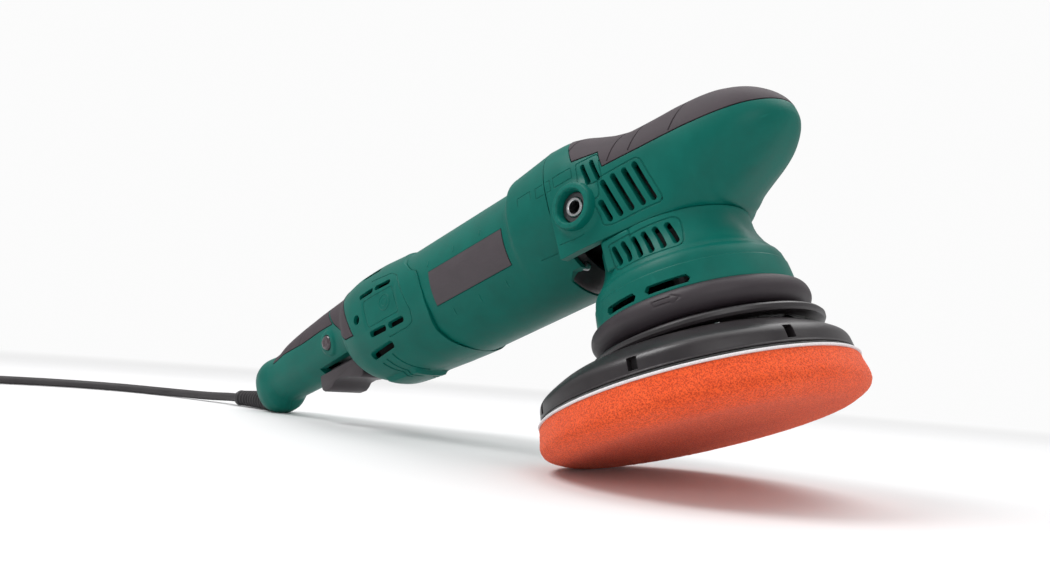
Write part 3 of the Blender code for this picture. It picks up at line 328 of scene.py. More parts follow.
boot_a, boot_b = from_tool(-360.0, 0, 105.3), from_tool(-376.0, 0, 106.0)
BOOT = smooth_path([boot_a, boot_b, boot_b + Vector((-0.016, 0, -0.0003)), boot_b + Vector((-0.032, -0.0007, -0.0007)),
                    boot_b + Vector((-0.048, -0.0030, -0.0012))], 0.0005)
lead = (BOOT[-1] - BOOT[-2]).normalized()
start = BOOT[-1] - lead * 0.004
Z0 = 3.8


def coil_points():
    """Four layers of turns, wound in and out between the inner and the outer track."""
    pts = []
    inner, outer, rise = 31.5, 52.5, 7.1
    phi, r, z = 180.0, 60.2, Z0

    def run_to(dphi, r1, z1):
        nonlocal phi, r, z
        n = max(2, int(abs(dphi) / 15))
        for i in range(1, n + 1):
            f = i / n
            g = f * f * (3 - 2 * f)
            a = math.radians(phi + dphi * f)
            rr = r + (r1 - r) * (f if z1 == z else g)
            zz = z + (z1 - z) * g
            pts.append(Vector((CX + rr * math.cos(a), CY + rr * math.sin(a), zz)) * MM)
        phi, r, z = phi + dphi, r1, z1

    run_to(100.0, outer, Z0)
    for layer in range(4):
        run_to(1080.0, inner if layer % 2 == 0 else outer, z)
        if layer < 3:
            run_to(126.0, r, z + rise)
    run_to(227.0, r, z)
    return pts, phi, z


turns, last_angle, top_z = coil_points()
a = math.radians(last_angle)
leave = Vector((CX + 52.5 * math.cos(a), CY + 52.5 * math.sin(a), 0))
way = Vector((-math.sin(a), math.cos(a), 0))
drop = []
for d in (12, 20, 28, 36, 44, 52, 60, 68):
    f = d / 70.0
    g = f * f * (3 - 2 * f)
    drop.append((leave + way * d + Vector((0, 0, top_z + (Z0 - top_z) * g))) * MM)
end = leave + way * 74
tail = [Vector((end.x + 0.5, end.y - 2.0, Z0)) * MM, Vector((end.x + 7.0, end.y - 18.0, Z0)) * MM,
        Vector((end.x + 24.0, end.y - 31.0, Z0)) * MM, Vector((-424.0, -318.5, Z0 + 0.6)) * MM,
        Vector((-408.0, -318.0, 6.6)) * MM, Vector((-399.0, -317.2, 8.6)) * MM, Vector((-395.2, -317.0, 9.2)) * MM]
ROUTE = [start, start + lead * 0.006, start + Vector((-0.018, -0.0015, -0.0006)), Vector((start.x - 0.046, start.y - 0.007, Z0 * MM + 0.0009)),
         Vector((start.x - 0.099, start.y - 0.021, Z0 * MM)), Vector((LEFT * MM + 0.050, start.y - 0.045, Z0 * MM)),
         Vector((LEFT * MM + 0.018, start.y - 0.082, Z0 * MM)), Vector((LEFT * MM + 0.003, start.y - 0.130, Z0 * MM)),
         Vector((LEFT * MM, CY * MM + 0.030, Z0 * MM)), Vector((LEFT * MM, CY * MM + 0.003, Z0 * MM))]
first = smooth_path(ROUTE, 0.006)
last = smooth_path([turns[-1]] + drop + tail, 0.006)
CORD_PATH = first + turns + last[1:]
curve = bpy.data.curves.new("mains_lead", "CURVE")
curve.dimensions = "3D"
spline = curve.splines.new("POLY")
spline.points.add(len(CORD_PATH) - 1)
for sp, p in zip(spline.points, CORD_PATH):
    sp.co = (*p, 1)
curve.bevel_depth = CORD_R * MM
curve.bevel_resolution = 5
curve.use_fill_caps = True
curve.materials.append(CORD)
mains_lead = bpy.data.objects.new("mains_lead", curve)
SCENE.objects.link(mains_lead)
CORD_LENGTH = sum((q - p).length for p, q in zip(CORD_PATH, CORD_PATH[1:]))
print("cord length", round(CORD_LENGTH, 3))


# ================================================================ mesh helpers
def solid(name, verts, faces, scale=MM):
    mesh = bpy.data.meshes.new(name)
    mesh.from_pydata((np.asarray(verts, float) * scale).tolist(), [], faces)
    bm = bmesh.new()
    bm.from_mesh(mesh)
    bmesh.ops.remove_doubles(bm, verts=bm.verts, dist=1e-7)
    bmesh.ops.recalc_face_normals(bm, faces=bm.faces)
    if bm.calc_volume(signed=True) < 0:
        bmesh.ops.reverse_faces(bm, faces=bm.faces)
    bm.to_mesh(mesh)
    bm.free()
    obj = bpy.data.objects.new(name, mesh)
    SCENE.objects.link(obj)
    return obj


def skin(name, rings):
    rings = np.asarray(rings, float)
    m, n = rings.shape[:2]
    verts = rings.reshape(-1, 3)
    faces = [list(range(n))[::-1], [(m - 1) * n + i for i in range(n)]]
    for r in range(m - 1):
        for i in range(n):
            j = (i + 1) % n
            faces.append([r * n + i, r * n + j, (r + 1) * n + j, (r + 1) * n + i])
    return solid(name, verts, faces)


def turned(name, profile, axis="z", centre=(0, 0), n=64, change=None):
    """A closed outline of (radius, height) turned about an axis. change(verts) may move the points."""
    verts, faces, rows = [], [], []
    ang = 2 * math.pi * (np.arange(n) + 0.5) / n
    c, s = np.cos(ang), np.sin(ang)
    for r, h in profile:
        count = 1 if r < 1e-6 else n
        base = len(verts)
        for i in range(count):
            u, v = centre[0] + r * c[i], centre[1] + r * s[i]
            verts.append((u, v, h) if axis == "z" else (h, u, v) if axis == "x" else (u, h, v))
        rows.append(list(range(base, base + count)))
    for k in range(len(rows)):
        a, b = rows[k], rows[(k + 1) % len(rows)]
        if len(a) == 1 and len(b) == 1:
            continue
        for i in range(n):
            j = (i + 1) % n
            if len(a) == 1:
                faces.append([a[0], b[i], b[j]])
            elif len(b) == 1:
                faces.append([a[i], a[j], b[0]])
            else:
                faces.append([a[i], a[j], b[j], b[i]])
    verts = np.array(verts, float)
    if change:
        verts = change(verts)
    return solid(name, verts, faces)


def rod(name, axis, centre, r, a, b, n=40):
    return turned(name, [(0, a), (r, a), (r, b), (0, b)], axis, centre, n)


def box(name, x0, x1, y0, y1, z0, z1):
    v = [(x, y, z) for x in (x0, x1) for y in (y0, y1) for z in (z0, z1)]
    return solid(name, v, [(0, 1, 3, 2), (4, 6, 7, 5), (0, 4, 5, 1), (2, 3, 7, 6), (0, 2, 6, 4), (1, 5, 7, 3)])


def prism(name, outline, y0, y1):
    n = len(outline)
    verts = [(x, y0, z) for x, z in outline] + [(x, y1, z) for x, z in outline]
    faces = [list(range(n)), list(range(2 * n - 1, n - 1, -1))]
    faces += [[i, n + i, n + (i + 1) % n, (i + 1) % n] for i in range(n)]
    return solid(name, verts, faces)


def slot_bar(name, p, q, half, y0, y1):
    """A slot with round ends from p to q in the x-z plane."""
    (x0, z0), (x1, z1) = p, q
    a = math.atan2(z1 - z0, x1 - x0)
    out = []
    for cx, cz, s in ((x1, z1, a - math.pi / 2), (x0, z0, a + math.pi / 2)):
        for i in range(9):
            t = s + math.pi * i / 8
            out.append((cx + half * math.cos(t), cz + half * math.sin(t)))
    return prism(name, out, y0, y1)


def sector(name, r0, r1, a0, a1, x0, x1, n=24):
    pts = []
    for r, rng in ((r0, range(n + 1)), (r1, range(n, -1, -1))):
        for i in rng:
            t = math.radians(a0 + (a1 - a0) * i / n)
            pts.append((r * math.cos(t), MOTOR_Z + r * math.sin(t)))
    m = len(pts)
    verts = [(x0, y, z) for y, z in pts] + [(x1, y, z) for y, z in pts]
    faces = [list(range(m)), list(range(2 * m - 1, m - 1, -1))]
    faces += [[i, m + i, m + (i + 1) % m, (i + 1) % m] for i in range(m)]
    return solid(name, verts, faces)


def mesh_volume(mesh):
    bm = bmesh.new()
    bm.from_mesh(mesh)
    v = abs(bm.calc_volume(signed=True))
    bm.free()
    return v


def boolean(obj, others, operation):
    for other in others:
        before, size = mesh_volume(obj.data), mesh_volume(other.data)
        for solver in ("MANIFOLD", "EXACT"):
            mod = obj.modifiers.new("b", "BOOLEAN")
            mod.operation = operation
            mod.solver = solver
            mod.object = other
            graph = bpy.context.evaluated_depsgraph_get()
            mesh = bpy.data.meshes.new_from_object(obj.evaluated_get(graph))
            obj.modifiers.clear()
            after = mesh_volume(mesh)
            e = 3e-9
            sound = {"DIFFERENCE": before - size - e <= after <= before + e,
                     "UNION": max(before, size) - e <= after <= before + size + e,
                     "INTERSECT": 0 < after <= min(before, size) + e}[operation]
            if len(mesh.polygons) and sound:
                break
        else:
            print("BOOLEAN FAILED", obj.name, operation, other.name)
            mesh = obj.data
        obj.data = mesh
        bpy.data.objects.remove(other, do_unlink=True)
    return obj


def cut(obj, *others):
    return boolean(obj, others, "DIFFERENCE")


def join(obj, *others):
    return boolean(obj, others, "UNION")


def keep(obj, *others):
    return boolean(obj, others, "INTERSECT")


def place(obj, name, mat, body, nodes, smooth=32, tool=True):
    """Into the row frame, shaded, named, riding on its body and standing for its CAD nodes."""
    if tool:
        obj.data.transform(TOOL)
    obj.name = name
    obj.data.materials.clear()
    obj.data.materials.append(mat)
    obj.data.shade_smooth()
    obj.data.set_sharp_from_angle(angle=math.radians(smooth))
    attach(obj, body)
    if nodes:
        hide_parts(*nodes)
    return obj


def curve_through(xs, ys, at):
    """Monotone cubic through the stations."""
    xs, ys, at = np.asarray(xs, float), np.asarray(ys, float), np.asarray(at, float)
    h = np.diff(xs)
    d = np.diff(ys) / h
    m = np.zeros(len(xs))
    m[0], m[-1] = d[0], d[-1]
    for i in range(1, len(xs) - 1):
        if d[i - 1] * d[i] > 0:
            w1, w2 = 2 * h[i] + h[i - 1], h[i] + 2 * h[i - 1]
            m[i] = (w1 + w2) / (w1 / d[i - 1] + w2 / d[i])
    k = np.clip(np.searchsorted(xs, at) - 1, 0, len(xs) - 2)
    t = np.clip((at - xs[k]) / h[k], 0, 1)
    return ((2 * t ** 3 - 3 * t ** 2 + 1) * ys[k] + (t ** 3 - 2 * t ** 2 + t) * h[k] * m[k]
            + (-2 * t ** 3 + 3 * t ** 2) * ys[k + 1] + (t ** 3 - t ** 2) * h[k] * m[k + 1])


# ---------------------------------------------------------------- shallow relief, drawn on the side view
def to_line(x, z, points, closed=False):
    """Distance in the x-z plane from each point to a broken line."""
    best = np.full(x.shape, 1e9)
    pts = list(points) + ([points[0]] if closed else [])
    for (x0, z0), (x1, z1) in zip(pts, pts[1:]):
        dx, dz = x1 - x0, z1 - z0
        t = np.clip(((x - x0) * dx + (z - z0) * dz) / (dx * dx + dz * dz), 0, 1)
        best = np.minimum(best, np.hypot(x - x0 - t * dx, z - z0 - t * dz))
    return best


def ridge(dist, half, soft):
    """1 within half of the line, easing to 0 over soft."""
    t = np.clip((half + soft - dist) / soft, 0, 1)
    return t * t * (3 - 2 * t)


def rounded(points, r=2.0, n=5):
    """A closed outline with its corners rounded off."""
    out = []
    m = len(points)
    for i in range(m):
        p, a, b = np.array(points[i]), np.array(points[i - 1]), np.array(points[(i + 1) % m])
        u, v = (a - p) / np.linalg.norm(a - p), (b - p) / np.linalg.norm(b - p)
        for k in range(n + 1):
            t = k / n
            out.append(tuple(p + u * r * (1 - t) ** 2 + v * r * t ** 2))
    return out


# ================================================================ rear handle and rear cover
REAR = np.array([
    (-376.0, 117.0, 6.0, 6.0, 9.5), (-375.6, 117.0, 9.6, 9.5, 13.6), (-374.2, 117.0, 13.2, 13.0, 17.5),
    (-369.5, 117.0, 17.0, 16.8, 22.0), (-361.0, 116.8, 18.8, 18.4, 24.4), (-355.0, 116.8, 18.4, 18.0, 24.2),
    (-351.5, 116.85, 18.0, 17.6, 22.0), (-347.5, 116.9, 17.8, 17.4, 18.8), (-342.0, 116.9, 18.2, 17.2, 18.2),
    (-330.0, 117.2, 22.0, 17.5, 18.6), (-314.0, 117.6, 24.2, 18.0, 19.1), (-298.0, 118.1, 25.4, 18.4, 20.2),
    (-280.0, 119.0, 25.8, 19.3, 21.4), (-264.0, 119.8, 25.4, 20.8, 22.4), (-250.0, 120.2, 25.2, 22.6, 23.2),
    (-243.0, 119.2, 26.4, 25.0, 24.6), (-238.0, 115.8, 29.4, 28.8, 28.0), (-233.0, 112.6, 32.8, 32.4, 32.2),
    (-225.0, 110.4, 35.2, 36.0, 35.2), (-212.0, 109.3, 37.2, 38.4, 37.2), (-190.0, 107.8, 38.2, 39.4, 37.6),
    (-178.0, 106.4, 38.5, 39.2, 36.9), (-165.0, 105.4, 38.6, 38.9, 36.6), (-150.0, 105.2, 38.4, 38.6, 37.0), (-136.0, 105.2, 38.3, 38.5, 37.4)])
SEAM = [(-173.5, 152.0), (-169.5, 140.0), (-162.0, 128.0), (-153.6, 119.6), (-148.6, 117.2), (-146.2, 112.0),
        (-144.4, 102.0), (-144.2, 90.0), (-146.2, 80.0), (-144.6, 73.0), (-140.0, 66.0), (-138.5, 55.0)]
PANEL = [(-207.0, 127.5), (-190.0, 127.8), (-172.0, 125.6), (-166.5, 122.5), (-162.5, 116.0), (-156.6, 95.0),
         (-157.4, 90.0), (-162.0, 87.9), (-178.0, 87.8), (-205.0, 90.2)]
THIN = [((-202.5, -26.0), (-196.6, -9.0)), ((-196.8, -27.5), (-192.4, -4.0)), ((-189.0, -29.0), (-184.0, -5.0))]


def rear_points(inset=0.0, start=-400.0, end=-136.0, relief=False, step=1.1, n=168):
    x = np.unique(np.concatenate([np.arange(max(start, -376.0), end, step), [-376, -375.9, -375.6, -375, -374.2, -373, -371.5, -369.5], [end]]))
    x = x[x >= start]
    zc, h, w, low = (curve_through(REAR[:, 0], REAR[:, k], x) for k in range(1, 5))
    wall = np.where(x < -250, 5.0, 5.0 - 2.2 * np.clip((x + 250) / 25, 0, 1)) if inset == "wall" else inset
    h, w, low = h - wall, w - wall, low - wall
    a = 2 * np.pi * (np.arange(n) + 0.5) / n
    c, s = np.cos(a), np.sin(a)
    p = 2 / 2.25
    y = w[:, None] * (np.sign(c) * np.abs(c) ** p)[None, :]
    hh = np.where(s[None, :] > 0, h[:, None], low[:, None])
    z = hh * (np.sign(s) * np.abs(s) ** p)[None, :]
    X = np.repeat(x[:, None], n, 1)
    if relief:
        Z = z + zc[:, None]
        side = ridge(25.0 - np.abs(y), 0.0, 8.0)      # 1 on the flanks
        d = np.zeros_like(X)
        # raised rim round the lock button, on the right half only
        r = np.hypot(X + 266.0, Z - 114.5)
        right = (y < 0)
        d += 1.3 * ridge(r, 7.6, 1.6) * right * ridge(12.0 - np.abs(y), 0, 3)
        inner = (X > -199) & (X < -168) & (Z > 98) & (Z < 116.5)
        d -= 0.30 * inner * side
        # heel under the cover
        heel = ridge(np.abs(y), 11.0, 3.0) * ridge(np.maximum(-217.0 - X, X + 189.0), 0.0, 2.5) * (Z < 90)
        d -= -2.2 * heel
        # parting line all round
        d -= 0.35 * ridge(np.abs(y), 0.05, 0.35)
        length = np.hypot(y, z)
        y = y * (1 + d / length)
        z = z * (1 + d / length)
    return np.stack([X, y, z + zc[:, None]], -1)


def surface_points(obj, points, s, step=0.7):
    """Points of a side-view line dropped onto the flank, in millimetres."""
    tree_ = BVHTree.FromPolygons([v.co for v in obj.data.vertices], [list(p.vertices) for p in obj.data.polygons])
    out = []
    for (x0, z0), (x1, z1) in zip(points, points[1:]):
        n = max(1, int(math.hypot(x1 - x0, z1 - z0) / step))
        for i in range(n + (1 if (x1, z1) == tuple(points[-1]) else 0)):
            x, z = x0 + (x1 - x0) * i / n, z0 + (z1 - z0) * i / n
            hit = tree_.ray_cast(Vector((x, s * 90.0, z)) * MM, Vector((0, -s, 0)))
            if hit[0] is not None:
                out.append(hit[0] * 1000)
    return out


def under_points(obj, points):
    """Points of a plan-view line lifted onto the underside, in millimetres."""
    tree_ = BVHTree.FromPolygons([v.co for v in obj.data.vertices], [list(p.vertices) for p in obj.data.polygons])
    hits = [tree_.ray_cast(Vector((x, y, 30.0)) * MM, Vector((0, 0, 1)))[0] for x, y in points]
    return [h * 1000 for h in hits if h is not None]


def wire(points, r, n=8, lift=0.0, out=None):
    pts = [points[0]] + [p for q, p in zip(points, points[1:]) if (p - q).length > 0.15]
    side = 1 if sum(p.y for p in pts) > 0 else -1
    rings = []
    for k, p in enumerate(pts):
        t = (pts[min(len(pts) - 1, k + 1)] - pts[max(0, k - 1)]).normalized()
        u = t.cross(out or Vector((0, side, 0)))
        u.normalize()
        w = u.cross(t).normalized()
        rings.append([tuple(p + Vector((0, side * lift, 0)) + (u * math.cos(a) + w * math.sin(a)) * r)
                      for a in [2 * math.pi * (i + 0.5) / n for i in range(n)]])
    return skin("wire", rings)


def engrave(obj, points, r=0.32, closed=False, sides=(-1, 1)):
    pts = list(points) + ([points[0]] if closed else [])
    for s in sides:
        line = surface_points(obj, pts, s)
        if closed:
            line = line[:-1]
        if len(line) > 3:
            cut(obj, wire(line, r))
    return obj


def emboss(obj, points, r=0.45, closed=False, sides=(-1, 1), lift=0.0):
    pts = list(points) + ([points[0]] if closed else [])
    for s in sides:
        line = surface_points(obj, pts, s)
        if closed:
            line = line[:-1]
        if len(line) > 3:
            join(obj, wire(line, r, lift=lift))
    return obj


def circle(cx, cz, r, n=40, gap=0.0):
    return [(cx + r * math.cos(gap + (2 * math.pi - gap) * i / n), cz + r * math.sin(gap + (2 * math.pi - gap) * i / n)) for i in range(n + 1)]


def behind_seam(gap):
    return prism("seam", [(x - gap, z) for x, z in SEAM] + [(-420.0, 55.0), (-420.0, 152.0)], -60, 60)


BAND = [(-267.5, 155.0), (-267.5, 139.0), (-255.0, 123.6), (-240.0, 111.0), (-226.0, 101.0), (-214.0, 99.4), (-217.5, 109.0), (-223.5, 122.0),
        (-229.5, 132.0), (-234.5, 155.0)]
BAND_IN = [(-266.9, 155.0), (-266.9, 139.3), (-254.6, 124.2), (-239.6, 111.6), (-225.8, 101.6), (-214.9, 100.1), (-218.1, 109.0), (-224.1, 121.8),
           (-230.1, 131.8), (-235.1, 155.0)]


def both_halves():
    shell = skin("rear", rear_points(relief=True, end=-134.0))
    cut(shell, skin("inside", rear_points("wall", start=-370.0, end=-130.0, step=2.5, n=84)))
    keep(shell, behind_seam(0.0))
    for s in (1, -1):
        def ys(a, b):
            return sorted((s * a, s * b))
        for p, q, half, y0 in (((-201.6, 120.5), (-190.4, 120.8), 1.65, 24), ((-185.4, 120.7), (-173.8, 120.2), 1.65, 24),
                               ((-195.6, 94.2), (-183.3, 93.8), 1.9, 24), ((-177.2, 93.5), (-166.6, 93.4), 1.9, 24),
                               ((-204.6, 83.6), (-184.6, 84.2), 2.1, 20)):
            cut(shell, slot_bar("slot", p, q, half, *ys(y0, 60)))
        bar = box("slot", -207.0, -189.5, *ys(10, 60), 134.8, 137.6)
        cut(shell, bar)
    engrave(shell, rounded([(-206.0, 127.4), (-190.0, 127.8), (-172.0, 125.6), (-166.0, 121.5), (-157.2, 96.0), (-158.5, 89.5), (-164.0, 87.9),
                            (-180.0, 87.8), (-204.0, 90.0)], 2.0)[6:-6], 0.36)
    engrave(shell, rounded([(-199.0, 116.3), (-170.5, 116.3), (-167.0, 98.6), (-197.0, 98.6)], 2.0), 0.26, True)
    for s in (1, -1):
        for (xa, ya), (xb, yb) in THIN:
            line = []
            for k in range(25):
                f = k / 24
                line.append((xa + (xb - xa) * f ** 1.4, s * (ya + (yb - ya) * f)))
            found = under_points(shell, line)
            if len(found) > 4:
                cut(shell, wire(found, 0.8, 10, out=Vector((0, 0, -1))))
    emboss(shell, circle(-178.5, 108.6, 4.8, gap=0.05), 0.35, lift=-0.1)
    emboss(shell, circle(-178.5, 108.6, 2.3, 24, gap=0.08), 0.30, lift=-0.1)
    # soft inlay and neck band pockets
    layer = skin("layer", rear_points(-4.0, start=-372.0, end=-206.0, step=2.2, n=120))
    cut(layer, skin("under", rear_points(2.0, start=-376.0, end=-200.0, step=1.6, n=120)))
    inlay = rounded([(-345.0, 124.6), (-328.0, 127.0), (-302.0, 125.6), (-276.0, 126.0), (-256.5, 124.6), (-268.5, 139.0), (-268.5, 155.0), (-345.0, 155.0)], 1.2, 3)
    band = BAND
    keep(layer, join(prism("inlay_zone", inlay, -60, 60), prism("band_zone", band, -60, 60)))
    cut(shell, layer)
    cut(shell, box("trigger_way", -288.2, -236.0, -16.0, 16.0, 55, 103.2))
    cut(shell, box("stem_way", -287.2, -240.5, -9.4, 9.4, 90, 109.4))
    cut(shell, rod("cord_mouth", "x", (0, 105.6), 8.3, -390, -356, 48))
    cut(shell, rod("lock_way", "y", (-266.0, 114.5), 5.4, -60, -5, 48))
    for s in (1, -1):
        cut(shell, turned("screw_way", [(0, s * 24.0), (2.2, s * 24.0), (2.2, s * 33.0), (3.1, s * 33.5), (3.4, s * 60.0), (0, s * 60.0)], "y", (-207.5, 107.6), 32))
    cut(shell, rod("screw_way", "y", (-330.0, 113.0), 3.8, 14.6, 60, 32))
    cut(shell, box("dial_window", -226.8, -203.2, 32.0, 50, 115.0, 121.0))
    left = bpy.data.objects.new("left", shell.data.copy())
    SCENE.objects.link(left)
    cut(shell, box("half", -420, -100, -0.08, 80, 40, 180))
    cut(left, box("half", -420, -100, -80, 0.08, 40, 180))
    return shell, left


right_half, left_half = both_halves()
place(right_half, "rear_shell_right", GREEN, "housing", ["rear_handle_right"], 32)
place(left_half, "rear_shell_left", GREEN, "housing", ["rear_handle_left"], 32)


def soft_skin(name, zone, inner, lo, hi, replaced, grooves=()):
    pts = rear_points(0.0, start=lo, end=hi, step=0.9, n=168)
    X, y, Z = pts[..., 0], pts[..., 1], pts[..., 2]
    d = np.full_like(X, 0.25)
    for gx, slant in grooves:
        d -= 0.7 * ridge(np.abs(X - gx - slant * (Z - 130.0)), 0.25, 0.45)
    zc = curve_through(REAR[:, 0], REAR[:, 1], X[:, 0])[:, None]
    length = np.hypot(y, Z - zc)
    pts[..., 1] = y * (1 + d / length)
    pts[..., 2] = zc + (Z - zc) * (1 + d / length)
    layer = skin("soft", pts)
    cut(layer, skin("under", rear_points(inner, start=lo - 6, end=hi + 4, step=2.2, n=84)))
    keep(layer, prism("zone", zone, -60, 60))
    return place(layer, name, SOFT, "housing", replaced, 40)


soft_skin("handle_inlay", rounded([(-344.4, 125.2), (-328.0, 127.6), (-302.0, 126.2), (-276.0, 126.6), (-257.8, 125.2), (-269.1, 139.3), (-269.1, 155.0), (-344.4, 155.0)], 1.2, 3),
          1.7, -348.0, -250.0, ["handle_soft_inlay"], ((-303.5, 0.10),))
soft_skin("neck_band", BAND_IN, 1.7, -274.0, -206.0, ["neck_soft_band"])

# ================================================================ trigger, lock button, dial, screws
paddle = prism("paddle", [(-286.4, 97.2), (-286.6, 90.5), (-285.6, 86.8), (-283.2, 85.1), (-276.2, 84.6), (-272.6, 86.2),
                          (-269.6, 88.4), (-264.0, 88.6), (-254.0, 86.6), (-246.0, 84.0), (-240.6, 82.2), (-238.4, 83.2),
                          (-237.6, 86.0), (-237.6, 97.2)], -15.4, 15.4)
join(paddle, prism("stem", [(-284.0, 96.0), (-244.0, 96.0), (-244.0, 102.3), (-284.0, 102.3)], -7.6, 7.6))
bev = paddle.modifiers.new("soft_edges", "BEVEL")
bev.width = 0.9 * MM
bev.segments = 3
bev.limit_method = "ANGLE"
bev.angle_limit = math.radians(40)
graph = bpy.context.evaluated_depsgraph_get()
mesh = bpy.data.meshes.new_from_object(paddle.evaluated_get(graph))
paddle.modifiers.clear()
paddle.data = mesh
place(paddle, "trigger_paddle", TRIGGER, "trigger", ["trigger"], 50)

lock = turned("lock", [(0, -11.6), (2.4, -11.6), (2.4, -16.0), (5.1, -16.0), (5.1, -21.2), (4.7, -22.1), (3.9, -22.7), (2.6, -22.9),
                       (1.2, -22.7), (0, -22.6)][::-1], "y", (-266.0, 114.5), 64)
place(lock, "lock_knob", GLOSS, "lock_button", ["lock_button"], 50)

dial_profile = [(1.6, 115.6), (9.8, 115.6), (10.9, 116.3), (10.9, 119.7), (9.8, 120.4), (1.6, 120.4)]


def knurl(v):
    dx, dy = v[:, 0] + 215.0, v[:, 1] - 31.0
    r, a = np.hypot(dx, dy), np.arctan2(dy, dx)
    k = np.where(r > 10.5, 1 - 0.045 * (np.cos(a * 30) > 0.2), 1.0)
    v[:, 0], v[:, 1] = -215.0 + dx * k, 31.0 + dy * k
    return v


place(turned("dial", dial_profile, "z", (-215.0, 31.0), 180, knurl), "speed_wheel", BLACK, "speed_dial", ["speed_dial"], 30)


screw = turned("screw", [(0, -27.6), (2.9, -27.6), (2.9, -25.4), (1.55, -25.4), (1.55, 24.0), (0, 24.0)], "y", (-231.0, 118.0), 32)
place(screw, "neck_screw", DARK_STEEL, "housing", ["handle_screw_front"], 40)

# a near-black sheet just inside the wall behind the rear vent slots: painted shade that keeps the slots dark
shade_sheet = turned("shade_sheet", [(33.6, -203.0), (34.4, -203.0), (34.4, -158.0), (33.6, -158.0)], "x", CM, 96)
place(shade_sheet, "vent_shade_sheet", VENT_SHADE, "housing", None, 40)

# ================================================================ motor housing
def collar_points(xs, grow, n=192, off=0.0, relief=False, thick=None):
    a = 2 * np.pi * (np.arange(n) + 0.5) / n
    c, s = np.cos(a), np.sin(a)
    p = 2 / 2.75
    y0, z0 = MOTOR_R * c, MOTOR_R * s
    up = s >= 0
    X = np.repeat(np.asarray(xs, float)[:, None], n, 1)
    crown = np.interp(X, [-66.0, -41.0], [0.93, 1.0])
    y1 = np.where(up, 40.5 * np.sign(c) * np.abs(c) ** p, c * (MOTOR_R + 2.5 * (1 + s) ** 1.5))
    z1 = np.where(up, 40.8 * crown * np.abs(s) ** p, z0)
    g = np.asarray(grow, float)[:, None]
    y, z = y0 + (y1 - y0) * g, z0 + (z1 - z0) * g
    length = np.hypot(y, z)
    d = np.full_like(X, -off)
    if relief:
        Z = z + MOTOR_Z
        d = d + 0.0 * Z
    y, z = y * (1 + d / length), z * (1 + d / length)
    return np.stack([X, y, z + MOTOR_Z], -1)


def tube_body():
    step = 1.0
    xs = np.unique(np.concatenate([np.arange(-190.0, -41.6, step), np.arange(-79.0, -61.0, step / 3), [-41.6]]))
    grow = curve_through([-200, -75.5, -73.0, -69.0, -66.0, -64.0, -30], [0, 0, 0.10, 0.90, 1.0, 1.0, 1.0], xs)
    body = skin("housing", collar_points(xs, grow, relief=True))
    gap = behind_seam(-0.35)
    cut(body, gap)
    cut(body, skin("bore", collar_points([-195.0, -68.5], [0, 0], off=2.7)))
    cut(body, skin("front", collar_points([-60.2, -30.0], [1, 1], off=3.0)))
    cut(body, rod("baffle", "x", CM, 27.0, -70, -58, 64))
    cut(body, prism("pocket", [(-41.0, 76.5), (-47.0, 76.5), (-52.3, 73.5), (-52.3, 52), (-30, 52), (-30, 76.5)], -60, 60))
    for px, pz in ((-138, 116.8), (-116, 116.8), (-94, 117.0), (-128, 84.2), (-107, 84.2), (-86, 84.2)):
        emboss(body, [(px, pz - 1.7), (px + 0.5, pz + 1.7)], 0.42, lift=-0.1)
    engrave(body, [(-60.5, 115.8), (-60.5, 120.2), (-51.2, 120.2), (-51.2, 115.8)], 0.26)
    engrave(body, [(-42.4, 119.6), (-47.6, 119.6), (-47.6, 113.8), (-42.4, 113.8)], 0.26)
    engrave(body, [(-59.0, 85.6), (-43.0, 84.6)], 0.26)
    cut(body, sector("label_pocket", 37.25, 44.0, 180 - 8.2, 180 + 24.2, -137.3, -76.7))
    cut(body, sector("plate_pocket", 37.25, 44.0, -24.2, 8.2, -137.3, -76.7))
    return body


place(tube_body(), "motor_tube", GREEN, "housing", ["motor_housing"], 30)

# ================================================================ head
HEAD = np.array([
    (-41.0, 146.8, 108.0, 77.3, 40.5, 40.1, 2.7), (-31.0, 146.0, 108.0, 77.3, 40.5, 40.0, 2.65),
    (-22.0, 143.6, 108.0, 77.3, 40.2, 39.4, 2.55), (-12.0, 139.2, 108.0, 77.3, 39.6, 38.2, 2.4),
    (-2.0, 134.9, 107.5, 77.3, 38.8, 36.9, 2.35), (8.0, 132.6, 107.0, 77.3, 37.7, 35.6, 2.3),
    (16.0, 132.4, 107.0, 77.3, 36.6, 32.8, 2.3), (24.0, 132.7, 107.0, 77.3, 35.4, 27.5, 2.25),
    (31.0, 132.9, 107.0, 77.3, 34.2, 19.0, 2.25), (36.0, 132.9, 107.0, 77.6, 33.3, 9.0, 2.2),
    (41.0, 132.7, 107.0, 81.0, 32.0, 6.0, 2.2), (48.0, 132.0, 107.0, 85.0, 30.0, 5.0, 2.15),
    (55.5, 129.8, 107.3, 88.8, 27.0, 4.5, 2.1), (62.0, 126.6, 107.6, 92.8, 23.2, 4.0, 2.1),
    (67.8, 122.2, 108.0, 97.8, 17.8, 3.0, 2.05), (71.8, 117.6, 108.4, 102.4, 11.8, 2.0, 2.0),
    (73.7, 113.8, 108.7, 105.4, 6.5, 1.2, 2.0), (74.3, 111.4, 108.8, 107.0, 2.6, 0.8, 2.0)])
LONG_SLOTS = [((-8.0, 103.4), (-3.0, 85.0)), ((-2.0, 103.9), (3.0, 85.1)), ((4.2, 103.9), (9.0, 85.2)), ((9.9, 104.4), (14.4, 85.4)),
              ((-11.2, 94.2), (-8.8, 84.8))]
SMALL_SLOTS = [((-16.9, 116.6), (-15.0, 107.0)), ((-11.6, 116.6), (-9.6, 107.0))]
FRAME_LONG = [(-14.2, 96.8), (-11.2, 97.6), (-10.0, 106.6), (11.4, 107.4), (13.6, 105.4), (18.2, 84.6), (17.0, 82.4), (-8.0, 81.6), (-13.0, 83.0)]
